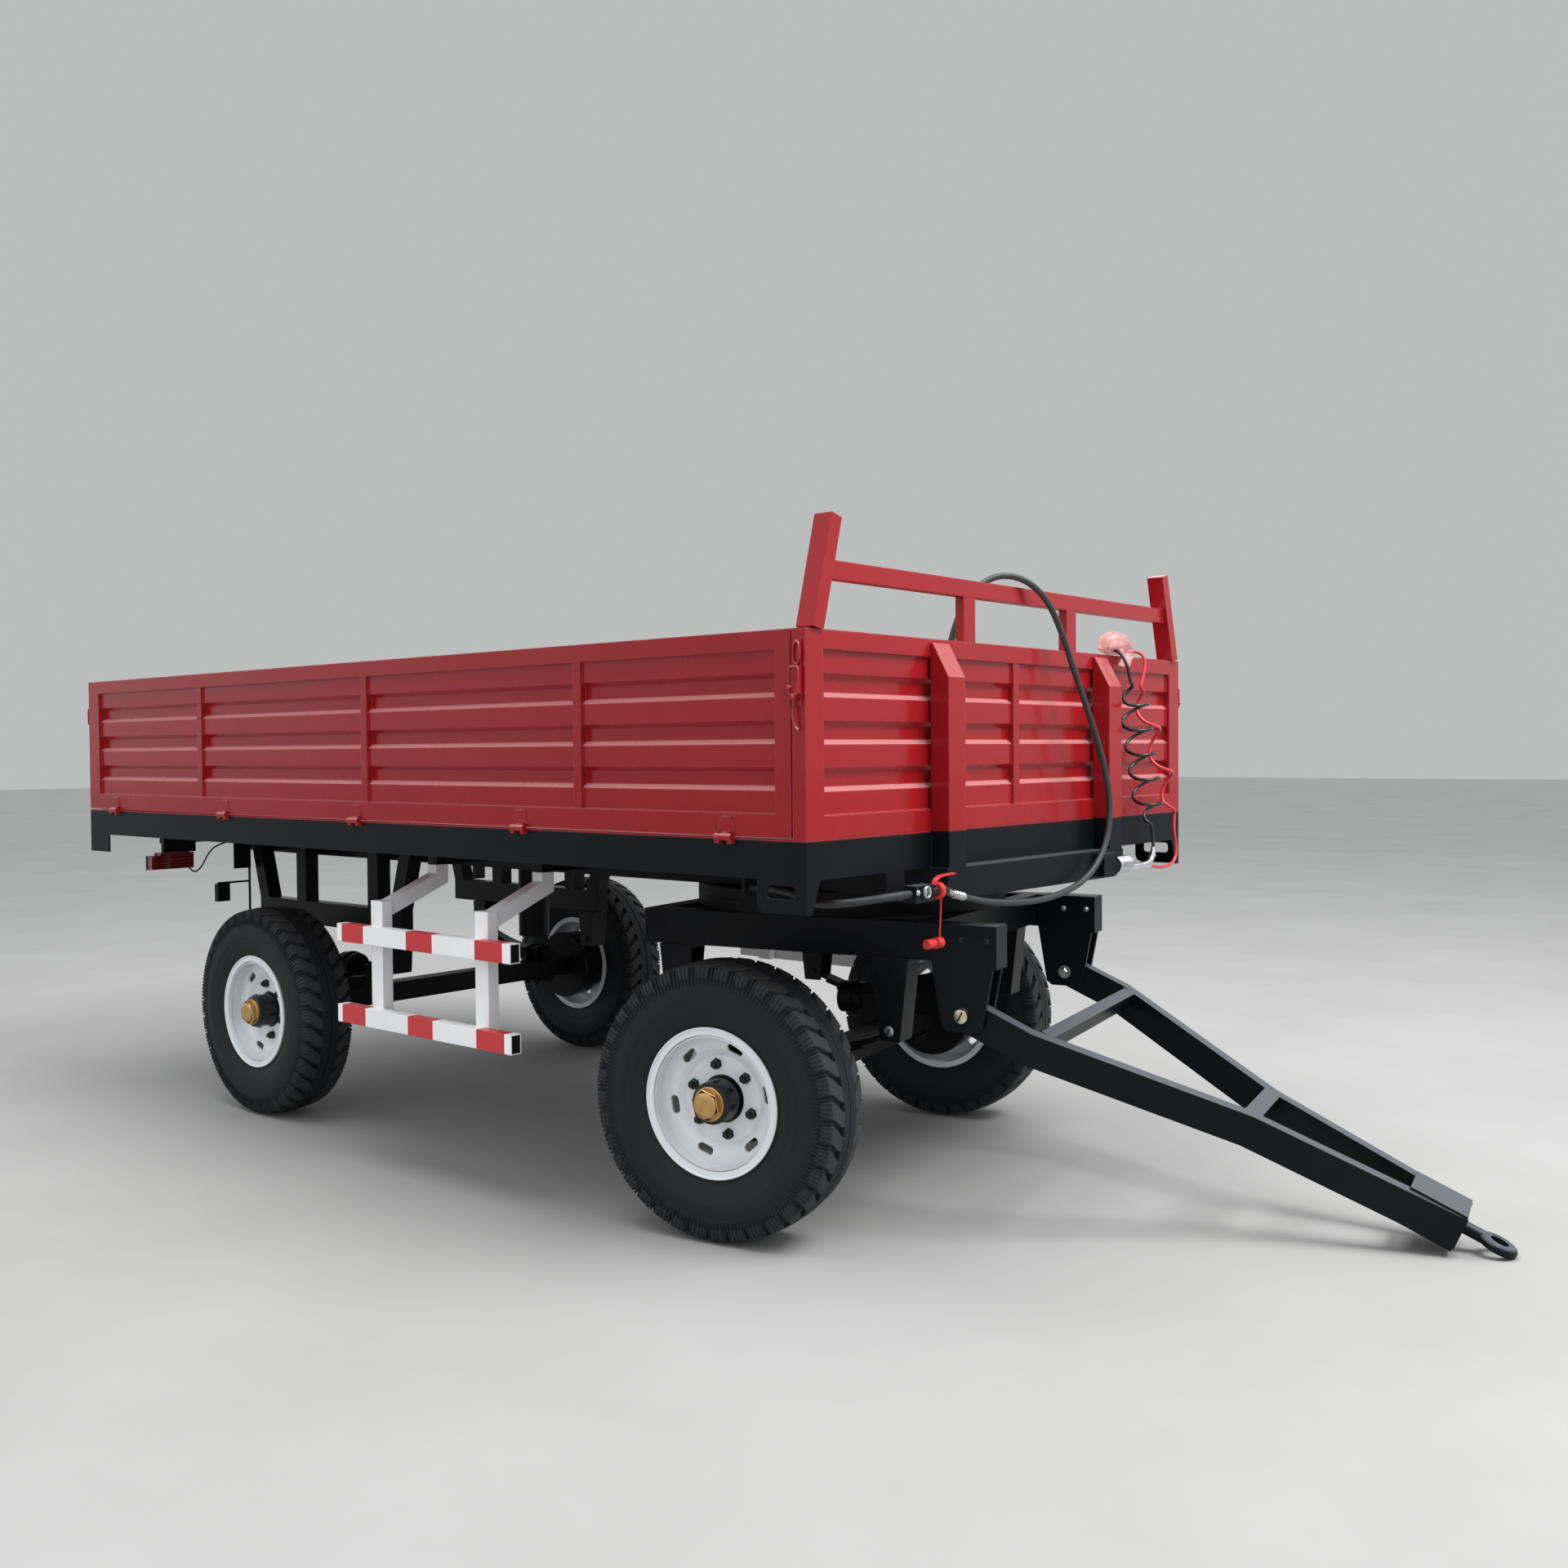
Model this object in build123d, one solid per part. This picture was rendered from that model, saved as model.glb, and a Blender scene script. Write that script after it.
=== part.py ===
"""Four-wheel farm dump trailer with a turntable bogie, drop-side bed and rear tipping hinge.

Every size is in millimetres.  The pieces are laid out with x = 0 at the front face of the bed,
+X forward, +Y left and +Z up from the ground.  At the end everything is moved so that the origin
is under the middle of the whole trailer.  The front bogie is laid out straight and then turned
to the angle at which the trailer is parked, with the drawbar eye resting on the ground.
"""
from build123d import *
import math
import os

# ---- driving dimensions -------------------------------------------------------------------
bed_length = 4000.0
bed_width = 2140.0
rail_height = 105.0
board_height = 545.0
board_thickness = 40.0
floor_plate = 4.0
headboard_height = 300.0      # above the boards

tyre_radius = 405.0
tyre_width = 215.0
half_track = bed_width / 2 - 235.0
rail_bottom = tyre_radius + 675.0   # underside of the bed's outer rails above the ground
front_axle_x = -685.0
rear_axle_x = 1055.0 - bed_length
park_steer = 11.6             # degrees, drawbar swung to the left

bogie_half_width = 475.0      # middle of the bogie's side beams, ears and drawbar arms
bogie_beam_bottom = tyre_radius + 389.0
bogie_beam_height = 111.0
drawbar_pin_x = -76.0
drawbar_pin_z = bogie_beam_bottom - 154.0
drawbar_eye_reach = 1510.0    # from the drawbar pins to the middle of the eye

chassis_half_width = 400.0
chassis_rail_height = 92.0
tip_hinge_x = 150.0 - bed_length

# ---- clearances ---------------------------------------------------------------------------
running_fit = 0.05            # radial, pin or spindle in its bore
side_gap = 0.5                # between faces that slide past each other at a pin
swing_gap = 5.0               # between pieces that move past each other
seat_gap = 0.3                # a piece that lies on another

# ---- values worked out from them ----------------------------------------------------------
rail_top = rail_bottom + rail_height
board_bottom = rail_top + swing_gap
board_top = rail_top + board_height
bed_side = bed_width / 2
bogie_beam_top = bogie_beam_bottom + bogie_beam_height


# ---- helpers ------------------------------------------------------------------------------
def block(x0, x1, y0, y1, z0, z1):
    """Box between two corners."""
    middle = Location(((x0 + x1) / 2, (y0 + y1) / 2, (z0 + z1) / 2))
    return middle * Box(abs(x1 - x0), abs(y1 - y0), abs(z1 - z0))


def span_y(side, near, far):
    """The two y values of a stretch on one side of the middle plane, smallest first."""
    return sorted((side * near, side * far))


def rod(start, end, radius):
    """Round bar between two points."""
    a = Vector(*start)
    b = Vector(*end)
    plane = Plane(origin=a, z_dir=b - a)
    return plane * Cylinder(radius, (b - a).length, align=(Align.CENTER, Align.CENTER, Align.MIN))


def prism(points, plane, thickness):
    """Closed outline on a plane, extruded along the plane's normal."""
    return extrude(plane * make_face(Polyline(*points, close=True)), thickness)


def side_prism(points, y0, y1):
    """Outline in x and z, extruded from y0 to y1."""
    plane = Plane(origin=(0, y0, 0), x_dir=(1, 0, 0), z_dir=(0, -1, 0))
    return prism(points, plane, y0 - y1)


def front_prism(points, x0, x1):
    """Outline in y and z, extruded from x0 to x1."""
    plane = Plane(origin=(x0, 0, 0), x_dir=(0, 1, 0), z_dir=(1, 0, 0))
    return prism(points, plane, x1 - x0)


def beam(start, end, width, height, wall=0.0, up=(0, 0, 1)):
    """Straight square tube (or bar when wall is 0) between the middles of its two ends."""
    a = Vector(*start)
    b = Vector(*end)
    along = (b - a).normalized()
    side = Vector(*up).cross(along).normalized()
    plane = Plane(origin=a, x_dir=side, z_dir=along)
    section = Rectangle(width, height)
    if wall:
        section -= Rectangle(width - 2 * wall, height - 2 * wall)
    return extrude(plane * section, (b - a).length)


def join(*shapes):
    """One shape fused from several."""
    result = shapes[0]
    for shape in shapes[1:]:
        result = result + shape
    return result


def y_cylinder(x, y0, y1, z, radius):
    """Round bar along Y."""
    return rod((x, min(y0, y1), z), (x, max(y0, y1), z), radius)


# ---- chassis ------------------------------------------------------------------------------
bed_rest = 8.0                # between the chassis and the bed, filled by the rest pads
chassis_rail_top = rail_bottom - bed_rest
chassis_rail_bottom = chassis_rail_top - chassis_rail_height
chassis_rail_width = 60.0
chassis_rail_wall = 6.0
chassis_overhang = 70.0       # of the rails behind the tipping hinge
chassis_rear_x = tip_hinge_x - chassis_overhang
chassis_front_x = -40.0
cross_member_width = 60.0
cross_member_rise = 10.0      # of a cross member's underside above the rails' underside
cross_member_drop = 15.0      # of its top below the rails' top
tip_hinge_z = chassis_rail_top - 40.0
tip_pin_radius = 20.0
tip_lug_thickness = 20.0
tip_lug_radius = 45.0
rest_pad_x = -280.0
rest_pad_length = 100.0
cylinder_x = tip_hinge_x + 1500.0
cylinder_trunnion_z = rail_bottom - 95.0
cylinder_body_radius = 62.0
cylinder_bay = 140.0          # from the cylinder to the cross members either side of it
trunnion_radius = 22.0
trunnion_bearer_y = cylinder_body_radius + 40.0
ring_radius = 520.0
ring_width = 70.0
ring_bottom = bogie_beam_top
ring_height = chassis_rail_bottom - ring_bottom


def chassis_frame():
    """Two main rails, cross members, trunnion bearers and rest pads for the bed."""
    parts = []
    z_mid = chassis_rail_top - chassis_rail_height / 2
    low = chassis_rail_bottom + cross_member_rise
    high = chassis_rail_top - cross_member_drop
    for side in (-1, 1):
        y_mid = side * chassis_half_width
        parts.append(beam((chassis_rear_x, y_mid, z_mid), (chassis_front_x, y_mid, z_mid),
                          chassis_rail_width, chassis_rail_height, wall=chassis_rail_wall))
        y0 = y_mid - chassis_rail_width / 2
        parts.append(block(rest_pad_x, rest_pad_x + rest_pad_length, y0, y0 + chassis_rail_width,
                           chassis_rail_top, rail_bottom - seat_gap))
    inner = chassis_half_width - chassis_rail_width / 2
    behind_lugs = tip_hinge_x + tip_lug_radius + 75.0
    half_ring = ring_radius - ring_width - 50.0
    for x_mid in (behind_lugs, rear_axle_x, cylinder_x - cylinder_bay, cylinder_x + cylinder_bay,
                  front_axle_x - half_ring, front_axle_x, front_axle_x + half_ring,
                  chassis_front_x - cross_member_width / 2):
        x0 = x_mid - cross_member_width / 2
        parts.append(block(x0, x0 + cross_member_width, -inner, inner, low, high))
    frame = join(*parts)
    for side in (-1, 1):
        y0, y1 = span_y(side, trunnion_bearer_y - 15, trunnion_bearer_y + 15)
        frame = frame + block(cylinder_x - cylinder_bay, cylinder_x + cylinder_bay, y0, y1, low, high)
    reach = trunnion_bearer_y + 16
    frame = frame - y_cylinder(cylinder_x, -reach, reach, cylinder_trunnion_z, trunnion_radius + running_fit)
    top = chassis_rail_top + 1
    corner = [(chassis_rear_x - 1, tip_hinge_z - 12), (tip_hinge_x - 20, top), (chassis_rear_x - 1, top)]
    reach = chassis_half_width + chassis_rail_width
    frame = frame - side_prism(corner, -reach, reach)
    return frame - y_cylinder(tip_hinge_x, -reach, reach, tip_hinge_z, tip_pin_radius + running_fit)


spring_y = 520.0
drop_frame_bottom = tyre_radius + 295.0
drop_beam_height = 95.0
drop_beam_width = 60.0
drop_leg_width = 70.0
drop_rear_x = rear_axle_x - 585.0
drop_front_x = rear_axle_x + 445.0
drop_lean = 80.0
drop_post_offset = 260.0      # of the two posts from the axle
rear_hanger_length = 90.0


def drop_frame(side):
    """Frame under a chassis rail that carries the rear spring, with the spring's two hangers."""
    y0 = side * spring_y - drop_beam_width / 2
    y1 = side * spring_y + drop_beam_width / 2
    low = drop_frame_bottom
    high = drop_frame_bottom + drop_beam_height
    top = chassis_rail_top - 10
    half = drop_leg_width / 2
    parts = [block(drop_rear_x, drop_front_x, y0, y1, low, high)]
    rear_leg = [(drop_rear_x, high), (drop_rear_x + drop_leg_width, high),
                (drop_rear_x + drop_leg_width - drop_lean, top), (drop_rear_x - drop_lean, top)]
    front_leg = [(drop_front_x - drop_leg_width, high), (drop_front_x, high),
                 (drop_front_x + drop_lean, top), (drop_front_x + drop_lean - drop_leg_width, top)]
    for outline in (rear_leg, front_leg):
        parts.append(side_prism(outline, y0, y1))
    posts = [rear_axle_x - drop_post_offset, rear_axle_x + drop_post_offset]
    for x_mid in posts:
        parts.append(block(x_mid - half, x_mid + half, y0, y1, high, top))
    rail_face = chassis_half_width + chassis_rail_width / 2
    for x_mid in posts + [drop_rear_x - drop_lean + half, drop_front_x + drop_lean - half]:
        parts.append(block(x_mid - half, x_mid + half, side * rail_face, side * spring_y, top - 70, top))
    for x_eye in (rear_axle_x - leaf_half_span, rear_axle_x + leaf_half_span):
        outward = 1 if x_eye > rear_axle_x else -1
        parts.append(spring_hanger(x_eye, side * spring_y, drop_frame_bottom, rear_hanger_length, outward))
    return join(*parts)


# ---- springs and axles --------------------------------------------------------------------
leaf_thickness = 9.0
leaf_width = 63.0
leaf_count = 6
leaf_half_span = 380.0
leaf_step = 0.13              # share of the span by which each leaf is shorter than the one above
spring_rise = 78.0            # of the spring's ends above its middle
spring_eye_radius = 21.0
spring_pin_radius = 12.0
axle_half_height = 40.0
axle_z = tyre_radius
spindle_radius = 25.0
spindle_reach = 95.0          # outboard of the tyre's middle
drum_radius = 150.0
drum_inner_y = half_track - 150.0
back_plate = 8.0
chamber_y = 370.0             # middle of a brake chamber
chamber_radius = 58.0
chamber_length = 95.0
chamber_rise = 100.0          # of the chamber's axis above the axle's
camshaft_setback = 62.0       # of the brake camshaft behind the axle


def arc_point(centre, radius, angle):
    """Point on a circle in the x-z plane."""
    return (centre[0] + radius * math.cos(angle), centre[1] + radius * math.sin(angle))


def leaf_spring(x_mid, y_mid):
    """Pack of curved leaves, the longest on top with an eye at each end."""
    curve = (leaf_half_span ** 2 + spring_rise ** 2) / (2 * spring_rise)
    top_middle = axle_z + axle_half_height + leaf_count * leaf_thickness
    centre = (x_mid, top_middle + curve)
    down = math.pi * 1.5
    y0 = y_mid - leaf_width / 2
    plane = Plane(origin=(0, y0, 0), x_dir=(1, 0, 0), z_dir=(0, -1, 0))
    parts = []
    for k in range(leaf_count):
        inner = curve + k * leaf_thickness
        outer = inner + leaf_thickness
        half = leaf_half_span * (1.0 - leaf_step * k) / curve
        near = [arc_point(centre, inner, down + turn) for turn in (-half, 0, half)]
        far = [arc_point(centre, outer, down + turn) for turn in (half, 0, -half)]
        outline = [ThreePointArc(*near), Line(near[2], far[0]), ThreePointArc(*far), Line(far[2], near[0])]
        parts.append(extrude(plane * make_face(Curve() + outline), -leaf_width))
    eyes = [x_mid - leaf_half_span, x_mid + leaf_half_span]
    for x_eye in eyes:
        parts.append(y_cylinder(x_eye, y0, y0 + leaf_width, spring_eye_z, spring_eye_radius))
    pack = join(*parts)
    bore = spring_pin_radius + running_fit
    for x_eye in eyes:
        pack = pack - y_cylinder(x_eye, y0 - 1, y0 + leaf_width + 1, spring_eye_z, bore)
    return pack


spring_eye_z = axle_z + axle_half_height + leaf_count * leaf_thickness + spring_rise


def spring_hanger(x_eye, y_mid, top_z, length, outward):
    """Two cheek plates, a plate across their outer ends and the pin through the spring's eye."""
    parts = []
    half_gap = leaf_width / 2 + 4.0
    cheek = 8.0
    low = spring_eye_z - 32
    for side in (-1, 1):
        y0, y1 = sorted((y_mid + side * half_gap, y_mid + side * (half_gap + cheek)))
        outline = [(x_eye - length / 2, top_z), (x_eye + length / 2, top_z),
                   (x_eye + 32, low), (x_eye - 32, low)]
        parts.append(side_prism(outline, y0, y1))
    x0 = x_eye - length / 2
    parts.append(block(x0, x0 + length, y_mid - half_gap, y_mid + half_gap, top_z - 12, top_z))
    high = x_eye + outward * length / 2
    web = [(high, top_z), (x_eye + outward * 32, low), (x_eye + outward * 26, low),
           (high - outward * 6, top_z)]
    parts.append(side_prism(web, y_mid - half_gap, y_mid + half_gap))
    reach = half_gap + cheek + 6.0
    parts.append(y_cylinder(x_eye, y_mid - reach, y_mid + reach, spring_eye_z, spring_pin_radius))
    return join(*parts)


def brake_chamber(x_mid, side):
    """Air brake chamber behind an axle, its bracket, push rod, lever and camshaft."""
    z_mid = axle_z + chamber_rise
    x_cam = x_mid - camshaft_setback
    x_face = x_cam - 60.0
    y_mid = side * chamber_y
    chamber = rod((x_face - chamber_length, y_mid, z_mid), (x_face, y_mid, z_mid), chamber_radius)
    x_flange = x_face - 45.0
    flange = rod((x_flange - 8, y_mid, z_mid), (x_flange + 8, y_mid, z_mid), chamber_radius + 6)
    push_rod = rod((x_face - 2, y_mid, z_mid), (x_cam, y_mid, z_mid), 8.0)
    lever = block(x_cam - 14, x_cam + 14, y_mid - 9, y_mid + 9, axle_z - 20, z_mid + 18)
    camshaft = y_cylinder(x_cam, side * (chamber_y - 20), side * (drum_inner_y - 10), axle_z, 14.0)
    y0, y1 = span_y(side, chamber_y - 50, chamber_y - 38)
    bracket = block(x_face - 4, x_mid - 30, y0, y1, axle_z - 20, z_mid + 20)
    return join(chamber, flange, push_rod, lever, camshaft, bracket)


def axle(x_mid):
    """Square axle beam with round spindles, brake back plates and brake chambers."""
    reach = drum_inner_y - back_plate
    parts = [block(x_mid - axle_half_height, x_mid + axle_half_height, -reach, reach,
                   axle_z - axle_half_height, axle_z + axle_half_height)]
    for side in (-1, 1):
        y0, y1 = span_y(side, reach - 20, half_track + spindle_reach)
        parts.append(y_cylinder(x_mid, y0, y1, axle_z, spindle_radius))
        y0, y1 = span_y(side, reach - back_plate, reach)
        parts.append(y_cylinder(x_mid, y0, y1, axle_z, drum_radius + 4))
        parts.append(brake_chamber(x_mid, side))
    return join(*parts)


# ---- wheels -------------------------------------------------------------------------------
bead_radius = 203.0
rim_flange_radius = 218.0
rim_half_width = 91.0
bead_half_width = 80.0
rim_sheet = 6.0
well_depth = 12.0             # of the rim's drop centre
tyre_gap = 0.2                # between the rim and the tyre's beads
disc_offset = 20.0            # of the disc's mounting face, outboard of the tyre's middle
disc_sheet = 8.0
disc_rise = 18.0              # of the disc's outer ring, outboard of its mounting face
stud_circle = 102.5
stud_count = 6
stud_turn = -11.0             # degrees, of the first stud from straight up
stud_radius = 8.0
stud_clearance = 1.0
nut_radius = 14.0
nut_height = 18.0
hand_hole = (54.0, 24.0)
hand_hole_circle = 158.0
hub_flange_radius = 118.0
hub_barrel_radius = 62.0
hub_barrel_length = 75.0      # outboard of the disc's mounting face
hub_cap_radius = 48.0
hub_cap_reach = 128.0         # of the cap's face, outboard of the tyre's middle
drum_depth = 85.0
drum_wall = 10.0
hub_boss_radius = 45.0


def turned(profile):
    """Solid turned about the wheel's axle from an outline of outboard offset and radius."""
    face = make_face(Polyline(*profile, close=True))
    return revolve(Plane.YZ * face, Axis.Y)


def around_studs(shape, phase):
    """One copy of a shape for each wheel stud, turned about the wheel's axle."""
    step = 360.0 / stud_count
    return [shape.rotate(Axis.Y, stud_turn + step * (k + phase)) for k in range(stud_count)]


def tyre():
    """Tyre carcass with its rounded shoulders, at the origin with its axle along Y."""
    half = tyre_width / 2
    tread = half - 22.0
    shoulder = tyre_radius - 14.0
    outer = [(bead_half_width, bead_radius), (bead_half_width, bead_radius + 28), (half, 300),
             (half - 4, 342), (tread, shoulder), (tread - 14, tyre_radius)]
    inner = [(-y, r) for y, r in reversed(outer)]
    return turned(outer + inner)


def rim(side):
    """Pressed wheel: rim with curled flanges and a dished disc with hand holes and stud holes."""
    r = bead_radius - tyre_gap
    t = rim_sheet
    w = rim_half_width
    b = bead_half_width + tyre_gap
    well = r - well_depth
    outside = [(28, well), (45, r), (b, r), (b, rim_flange_radius)]
    inside = [(w, rim_flange_radius), (w, r - t), (40, r - t), (25, well - t)]
    half = outside + inside
    band = turned(half + [(-y, radius) for y, radius in reversed(half)])
    face = disc_offset
    back = face - disc_sheet
    edge = well - t
    disc = turned([(face, 70), (face, 126), (face + disc_rise - 4, 148), (face + disc_rise, 158),
                   (face + disc_rise, edge + 11.5), (back + disc_rise, edge + 6), (back + disc_rise, 156),
                   (back + disc_rise - 4, 150), (back, 130), (back, 70)])
    hole = rod((0, face - 40, stud_circle), (0, face + 20, stud_circle), stud_radius + stud_clearance)
    hand_plane = Plane(origin=(0, face - 60, hand_hole_circle), x_dir=(1, 0, 0), z_dir=(0, 1, 0))
    hand = extrude(hand_plane * SlotOverall(*hand_hole), 90)
    wheel = band + disc
    for cut in around_studs(hole, 0) + around_studs(hand, 0.5):
        wheel = wheel - cut
    return wheel if side > 0 else mirror(wheel, Plane.XZ)


def hub(side):
    """Brake drum, hub barrel, studs with nuts and round cap, bored for the spindle."""
    inner = drum_inner_y - half_track
    seat = disc_offset - disc_sheet - tyre_gap
    nose = disc_offset + hub_barrel_length
    drum_face = inner + drum_depth
    body = turned([(inner, 0), (inner, drum_radius), (drum_face, drum_radius), (drum_face, 95),
                   (seat, hub_flange_radius), (seat, hub_barrel_radius), (nose, hub_barrel_radius),
                   (nose, hub_cap_radius), (hub_cap_reach, hub_cap_radius - 3), (hub_cap_reach, 0)])
    stud_end = disc_offset + nut_height + 8
    stud = rod((0, disc_offset - 20, stud_circle), (0, stud_end, stud_circle), stud_radius)
    nut_plane = Plane(origin=(0, disc_offset + tyre_gap, stud_circle), x_dir=(1, 0, 0), z_dir=(0, 1, 0))
    nut = extrude(nut_plane * RegularPolygon(nut_radius, 6), nut_height)
    for piece in around_studs(stud + nut, 0):
        body = body + piece
    hollow_end = drum_face - 15.0
    lining = drum_radius - drum_wall
    hollow = turned([(inner - 1, 0), (inner - 1, lining), (hollow_end, lining), (hollow_end, 0)])
    boss = y_cylinder(0, inner + 10, hollow_end, 0, hub_boss_radius)
    bore = y_cylinder(0, inner - 1, spindle_reach + 1, 0, spindle_radius + running_fit)
    body = (body - hollow + boss) - bore
    return body if side > 0 else mirror(body, Plane.XZ)


# ---- bogie --------------------------------------------------------------------------------
ear_thickness = 12.0
ear_gap = 62.0                # between the two plates of a drawbar ear
ear_front_x = 20.0
ear_rear_x = -170.0
ear_web_low = bogie_beam_bottom - 14.0
ear_bottom = drawbar_pin_z - 48.0
ear_pin_radius = 16.0
bogie_rear_x = front_axle_x - 505.0
bogie_front_x = ear_front_x - 130.0
bogie_member_width = 60.0
front_hanger_length = 120.0


def bogie_frame():
    """Side beams and cross members under the turntable, with the hangers of the front springs."""
    parts = []
    half = ear_gap / 2
    for side in (-1, 1):
        y_mid = side * bogie_half_width
        parts.append(block(bogie_rear_x, bogie_front_x, y_mid - half, y_mid + half,
                           bogie_beam_bottom, bogie_beam_top))
        for x_eye in (front_axle_x - leaf_half_span, front_axle_x + leaf_half_span):
            outward = 1 if x_eye > front_axle_x else -1
            parts.append(spring_hanger(x_eye, y_mid, bogie_beam_bottom, front_hanger_length, outward))
    inner = bogie_half_width - half
    half = bogie_member_width / 2
    last = ear_rear_x - half - swing_gap
    for x_mid in (bogie_rear_x + half, front_axle_x - 180, front_axle_x + 180, last):
        parts.append(block(x_mid - half, x_mid + half, -inner, inner, bogie_beam_bottom + 12, bogie_beam_top))
    return join(*parts)


def drawbar_ear(side):
    """Two plates joined by a web and a cover, with the drawbar's hinge pin through them."""
    outline = [(ear_rear_x, bogie_beam_top), (ear_front_x, bogie_beam_top), (ear_front_x, ear_web_low),
               (-14, ear_bottom + 14), (-30, ear_bottom), (-122, ear_bottom), (-140, ear_bottom + 14),
               (ear_rear_x, bogie_beam_bottom)]
    y_mid = side * bogie_half_width
    half = ear_gap / 2 + seat_gap + ear_thickness
    parts = []
    for face in (-1, 1):
        y0, y1 = sorted((y_mid + face * (half - ear_thickness), y_mid + face * half))
        parts.append(side_prism(outline, y0, y1))
    front = ear_front_x + ear_thickness
    parts.append(block(ear_front_x, front, y_mid - half, y_mid + half, ear_web_low, bogie_beam_top))
    parts.append(block(bogie_front_x + seat_gap, front, y_mid - half, y_mid + half,
                       bogie_beam_top - 6, bogie_beam_top))
    reach = half + 10.0
    parts.append(y_cylinder(drawbar_pin_x, y_mid - reach, y_mid + reach, drawbar_pin_z, ear_pin_radius))
    parts.append(y_cylinder(drawbar_pin_x, y_mid + side * half, y_mid + side * reach, drawbar_pin_z, 24.0))
    return join(*parts)


def ring(z0, z1):
    """Flat ring of the turntable."""
    outer = rod((front_axle_x, 0, z0), (front_axle_x, 0, z1), ring_radius)
    return outer - rod((front_axle_x, 0, z0 - 1), (front_axle_x, 0, z1 + 1), ring_radius - ring_width)


# ---- drawbar ------------------------------------------------------------------------------
arm_width = 50.0
arm_height = 95.0
arm_kink_1 = 200.0            # from the pins, where the arms turn inward
arm_kink_2 = 0.53 * drawbar_eye_reach   # where they turn almost parallel
neck_half_width = 160.0       # middle of an arm at the second kink
nose_half_width = 62.0
nose_end = drawbar_eye_reach - 100.0
nose_start = nose_end - 160.0
nose_plate = 8.0
brace_height = 50.0
brace_width = 40.0
eye_inner_radius = 25.0
eye_bar_radius = 14.0
eye_bush_wall = 6.0
eye_bush_length = 24.0
shank_radius = 19.0


def drawbar():
    """A-frame laid flat with its pins at the origin: arms, braces, nose plates and eye."""
    parts = []
    half = arm_height / 2
    line = [(-40.0, bogie_half_width), (arm_kink_1, bogie_half_width), (arm_kink_2, neck_half_width),
            (nose_end, nose_half_width)]
    for side in (-1, 1):
        for (u0, v0), (u1, v1) in zip(line, line[1:]):
            parts.append(beam((u0, side * v0, 0), (u1, side * v1, 0), arm_width, arm_height))
        for u, v in line[1:3]:
            parts.append(rod((u, side * v, -half), (u, side * v, half), arm_width / 2))
        boss = ear_gap / 2 - side_gap
        y0, y1 = span_y(side, bogie_half_width - boss, bogie_half_width + boss)
        parts.append(y_cylinder(0, y0, y1, 0, 30.0))
    wide = bogie_half_width - arm_width + 5.0
    brace_low = half - brace_height
    parts.append(block(arm_kink_1 + 10, arm_kink_1 + 10 + brace_width, -wide, wide, brace_low, half))
    wide = neck_half_width
    parts.append(block(arm_kink_2 - 25, arm_kink_2 + 25, -wide, wide, brace_low, half))
    wide = nose_half_width + arm_width / 2
    for z0 in (half, -half - nose_plate):
        parts.append(block(nose_start, nose_end, -wide, wide, z0, z0 + nose_plate))
    parts.append(block(nose_end - 14, nose_end, -wide + 5, wide - 5, -half, half))
    eye = Location((drawbar_eye_reach, 0, 0))
    eye_middle = eye_inner_radius + eye_bar_radius
    parts.append(rod((nose_end - 100, 0, 0), (drawbar_eye_reach - eye_middle, 0, 0), shank_radius))
    parts.append(eye * Torus(eye_middle, eye_bar_radius))
    parts.append(eye * Cylinder(eye_inner_radius + eye_bush_wall, eye_bush_length))
    frame = join(*parts) - eye * Cylinder(eye_inner_radius, 3 * eye_bush_length)
    reach = bogie_half_width + ear_gap
    return frame - y_cylinder(0, -reach, reach, 0, ear_pin_radius + running_fit)


drawbar_droop = math.degrees(math.asin(
    (drawbar_pin_z - eye_bar_radius) / (drawbar_eye_reach + eye_inner_radius + eye_bar_radius)))


def place_drawbar(shape):
    """Lower the flat drawbar about its pins until the eye touches the ground."""
    return Location((drawbar_pin_x, 0, drawbar_pin_z)) * shape.rotate(Axis.Y, drawbar_droop)


# ---- bed ----------------------------------------------------------------------------------
bed_rail_width = 50.0
bed_sheet = 5.0
bearer_width = 80.0
cross_bearer_count = 7
cross_bearer_width = 50.0
cross_bearer_height = 70.0
floor_bottom = rail_top - floor_plate
corner_post = 45.0
front_beam_half = 520.0
front_beam_low = rail_bottom - 90.0
upright_y = 470.0
upright_width = 84.0
upright_depth = 62.0
upright_cut = 110.0           # height of an upright's slanted top
plate = 6.0                   # thickness of brackets


def tipping_lugs(side):
    """Two lugs either side of a chassis rail and the pin through them."""
    parts = []
    y_mid = side * chassis_half_width
    near = chassis_rail_width / 2 + side_gap
    far = near + tip_lug_thickness
    for face in (-1, 1):
        y0, y1 = sorted((y_mid + face * near, y_mid + face * far))
        parts.append(y_cylinder(tip_hinge_x, y0, y1, tip_hinge_z, tip_lug_radius))
        parts.append(block(tip_hinge_x - tip_lug_radius, tip_hinge_x + tip_lug_radius, y0, y1, tip_hinge_z,
                           rail_bottom + bearer_width / 2))
    parts.append(y_cylinder(tip_hinge_x, y_mid - far, y_mid + far, tip_hinge_z, tip_pin_radius))
    return join(*parts)


def lift_bracket():
    """Cross member of the bed with two plates either side of the cylinder's eye."""
    parts = [block(cylinder_x - 25, cylinder_x + 25, -chassis_half_width, chassis_half_width,
                   rod_eye_z + rod_eye_radius + swing_gap, floor_bottom)]
    for side in (-1, 1):
        y0, y1 = span_y(side, rod_eye_half + side_gap, rod_eye_half + side_gap + 12)
        parts.append(block(cylinder_x - 30, cylinder_x + 30, y0, y1, rod_eye_z - 24, floor_bottom))
    return join(*parts)


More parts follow.
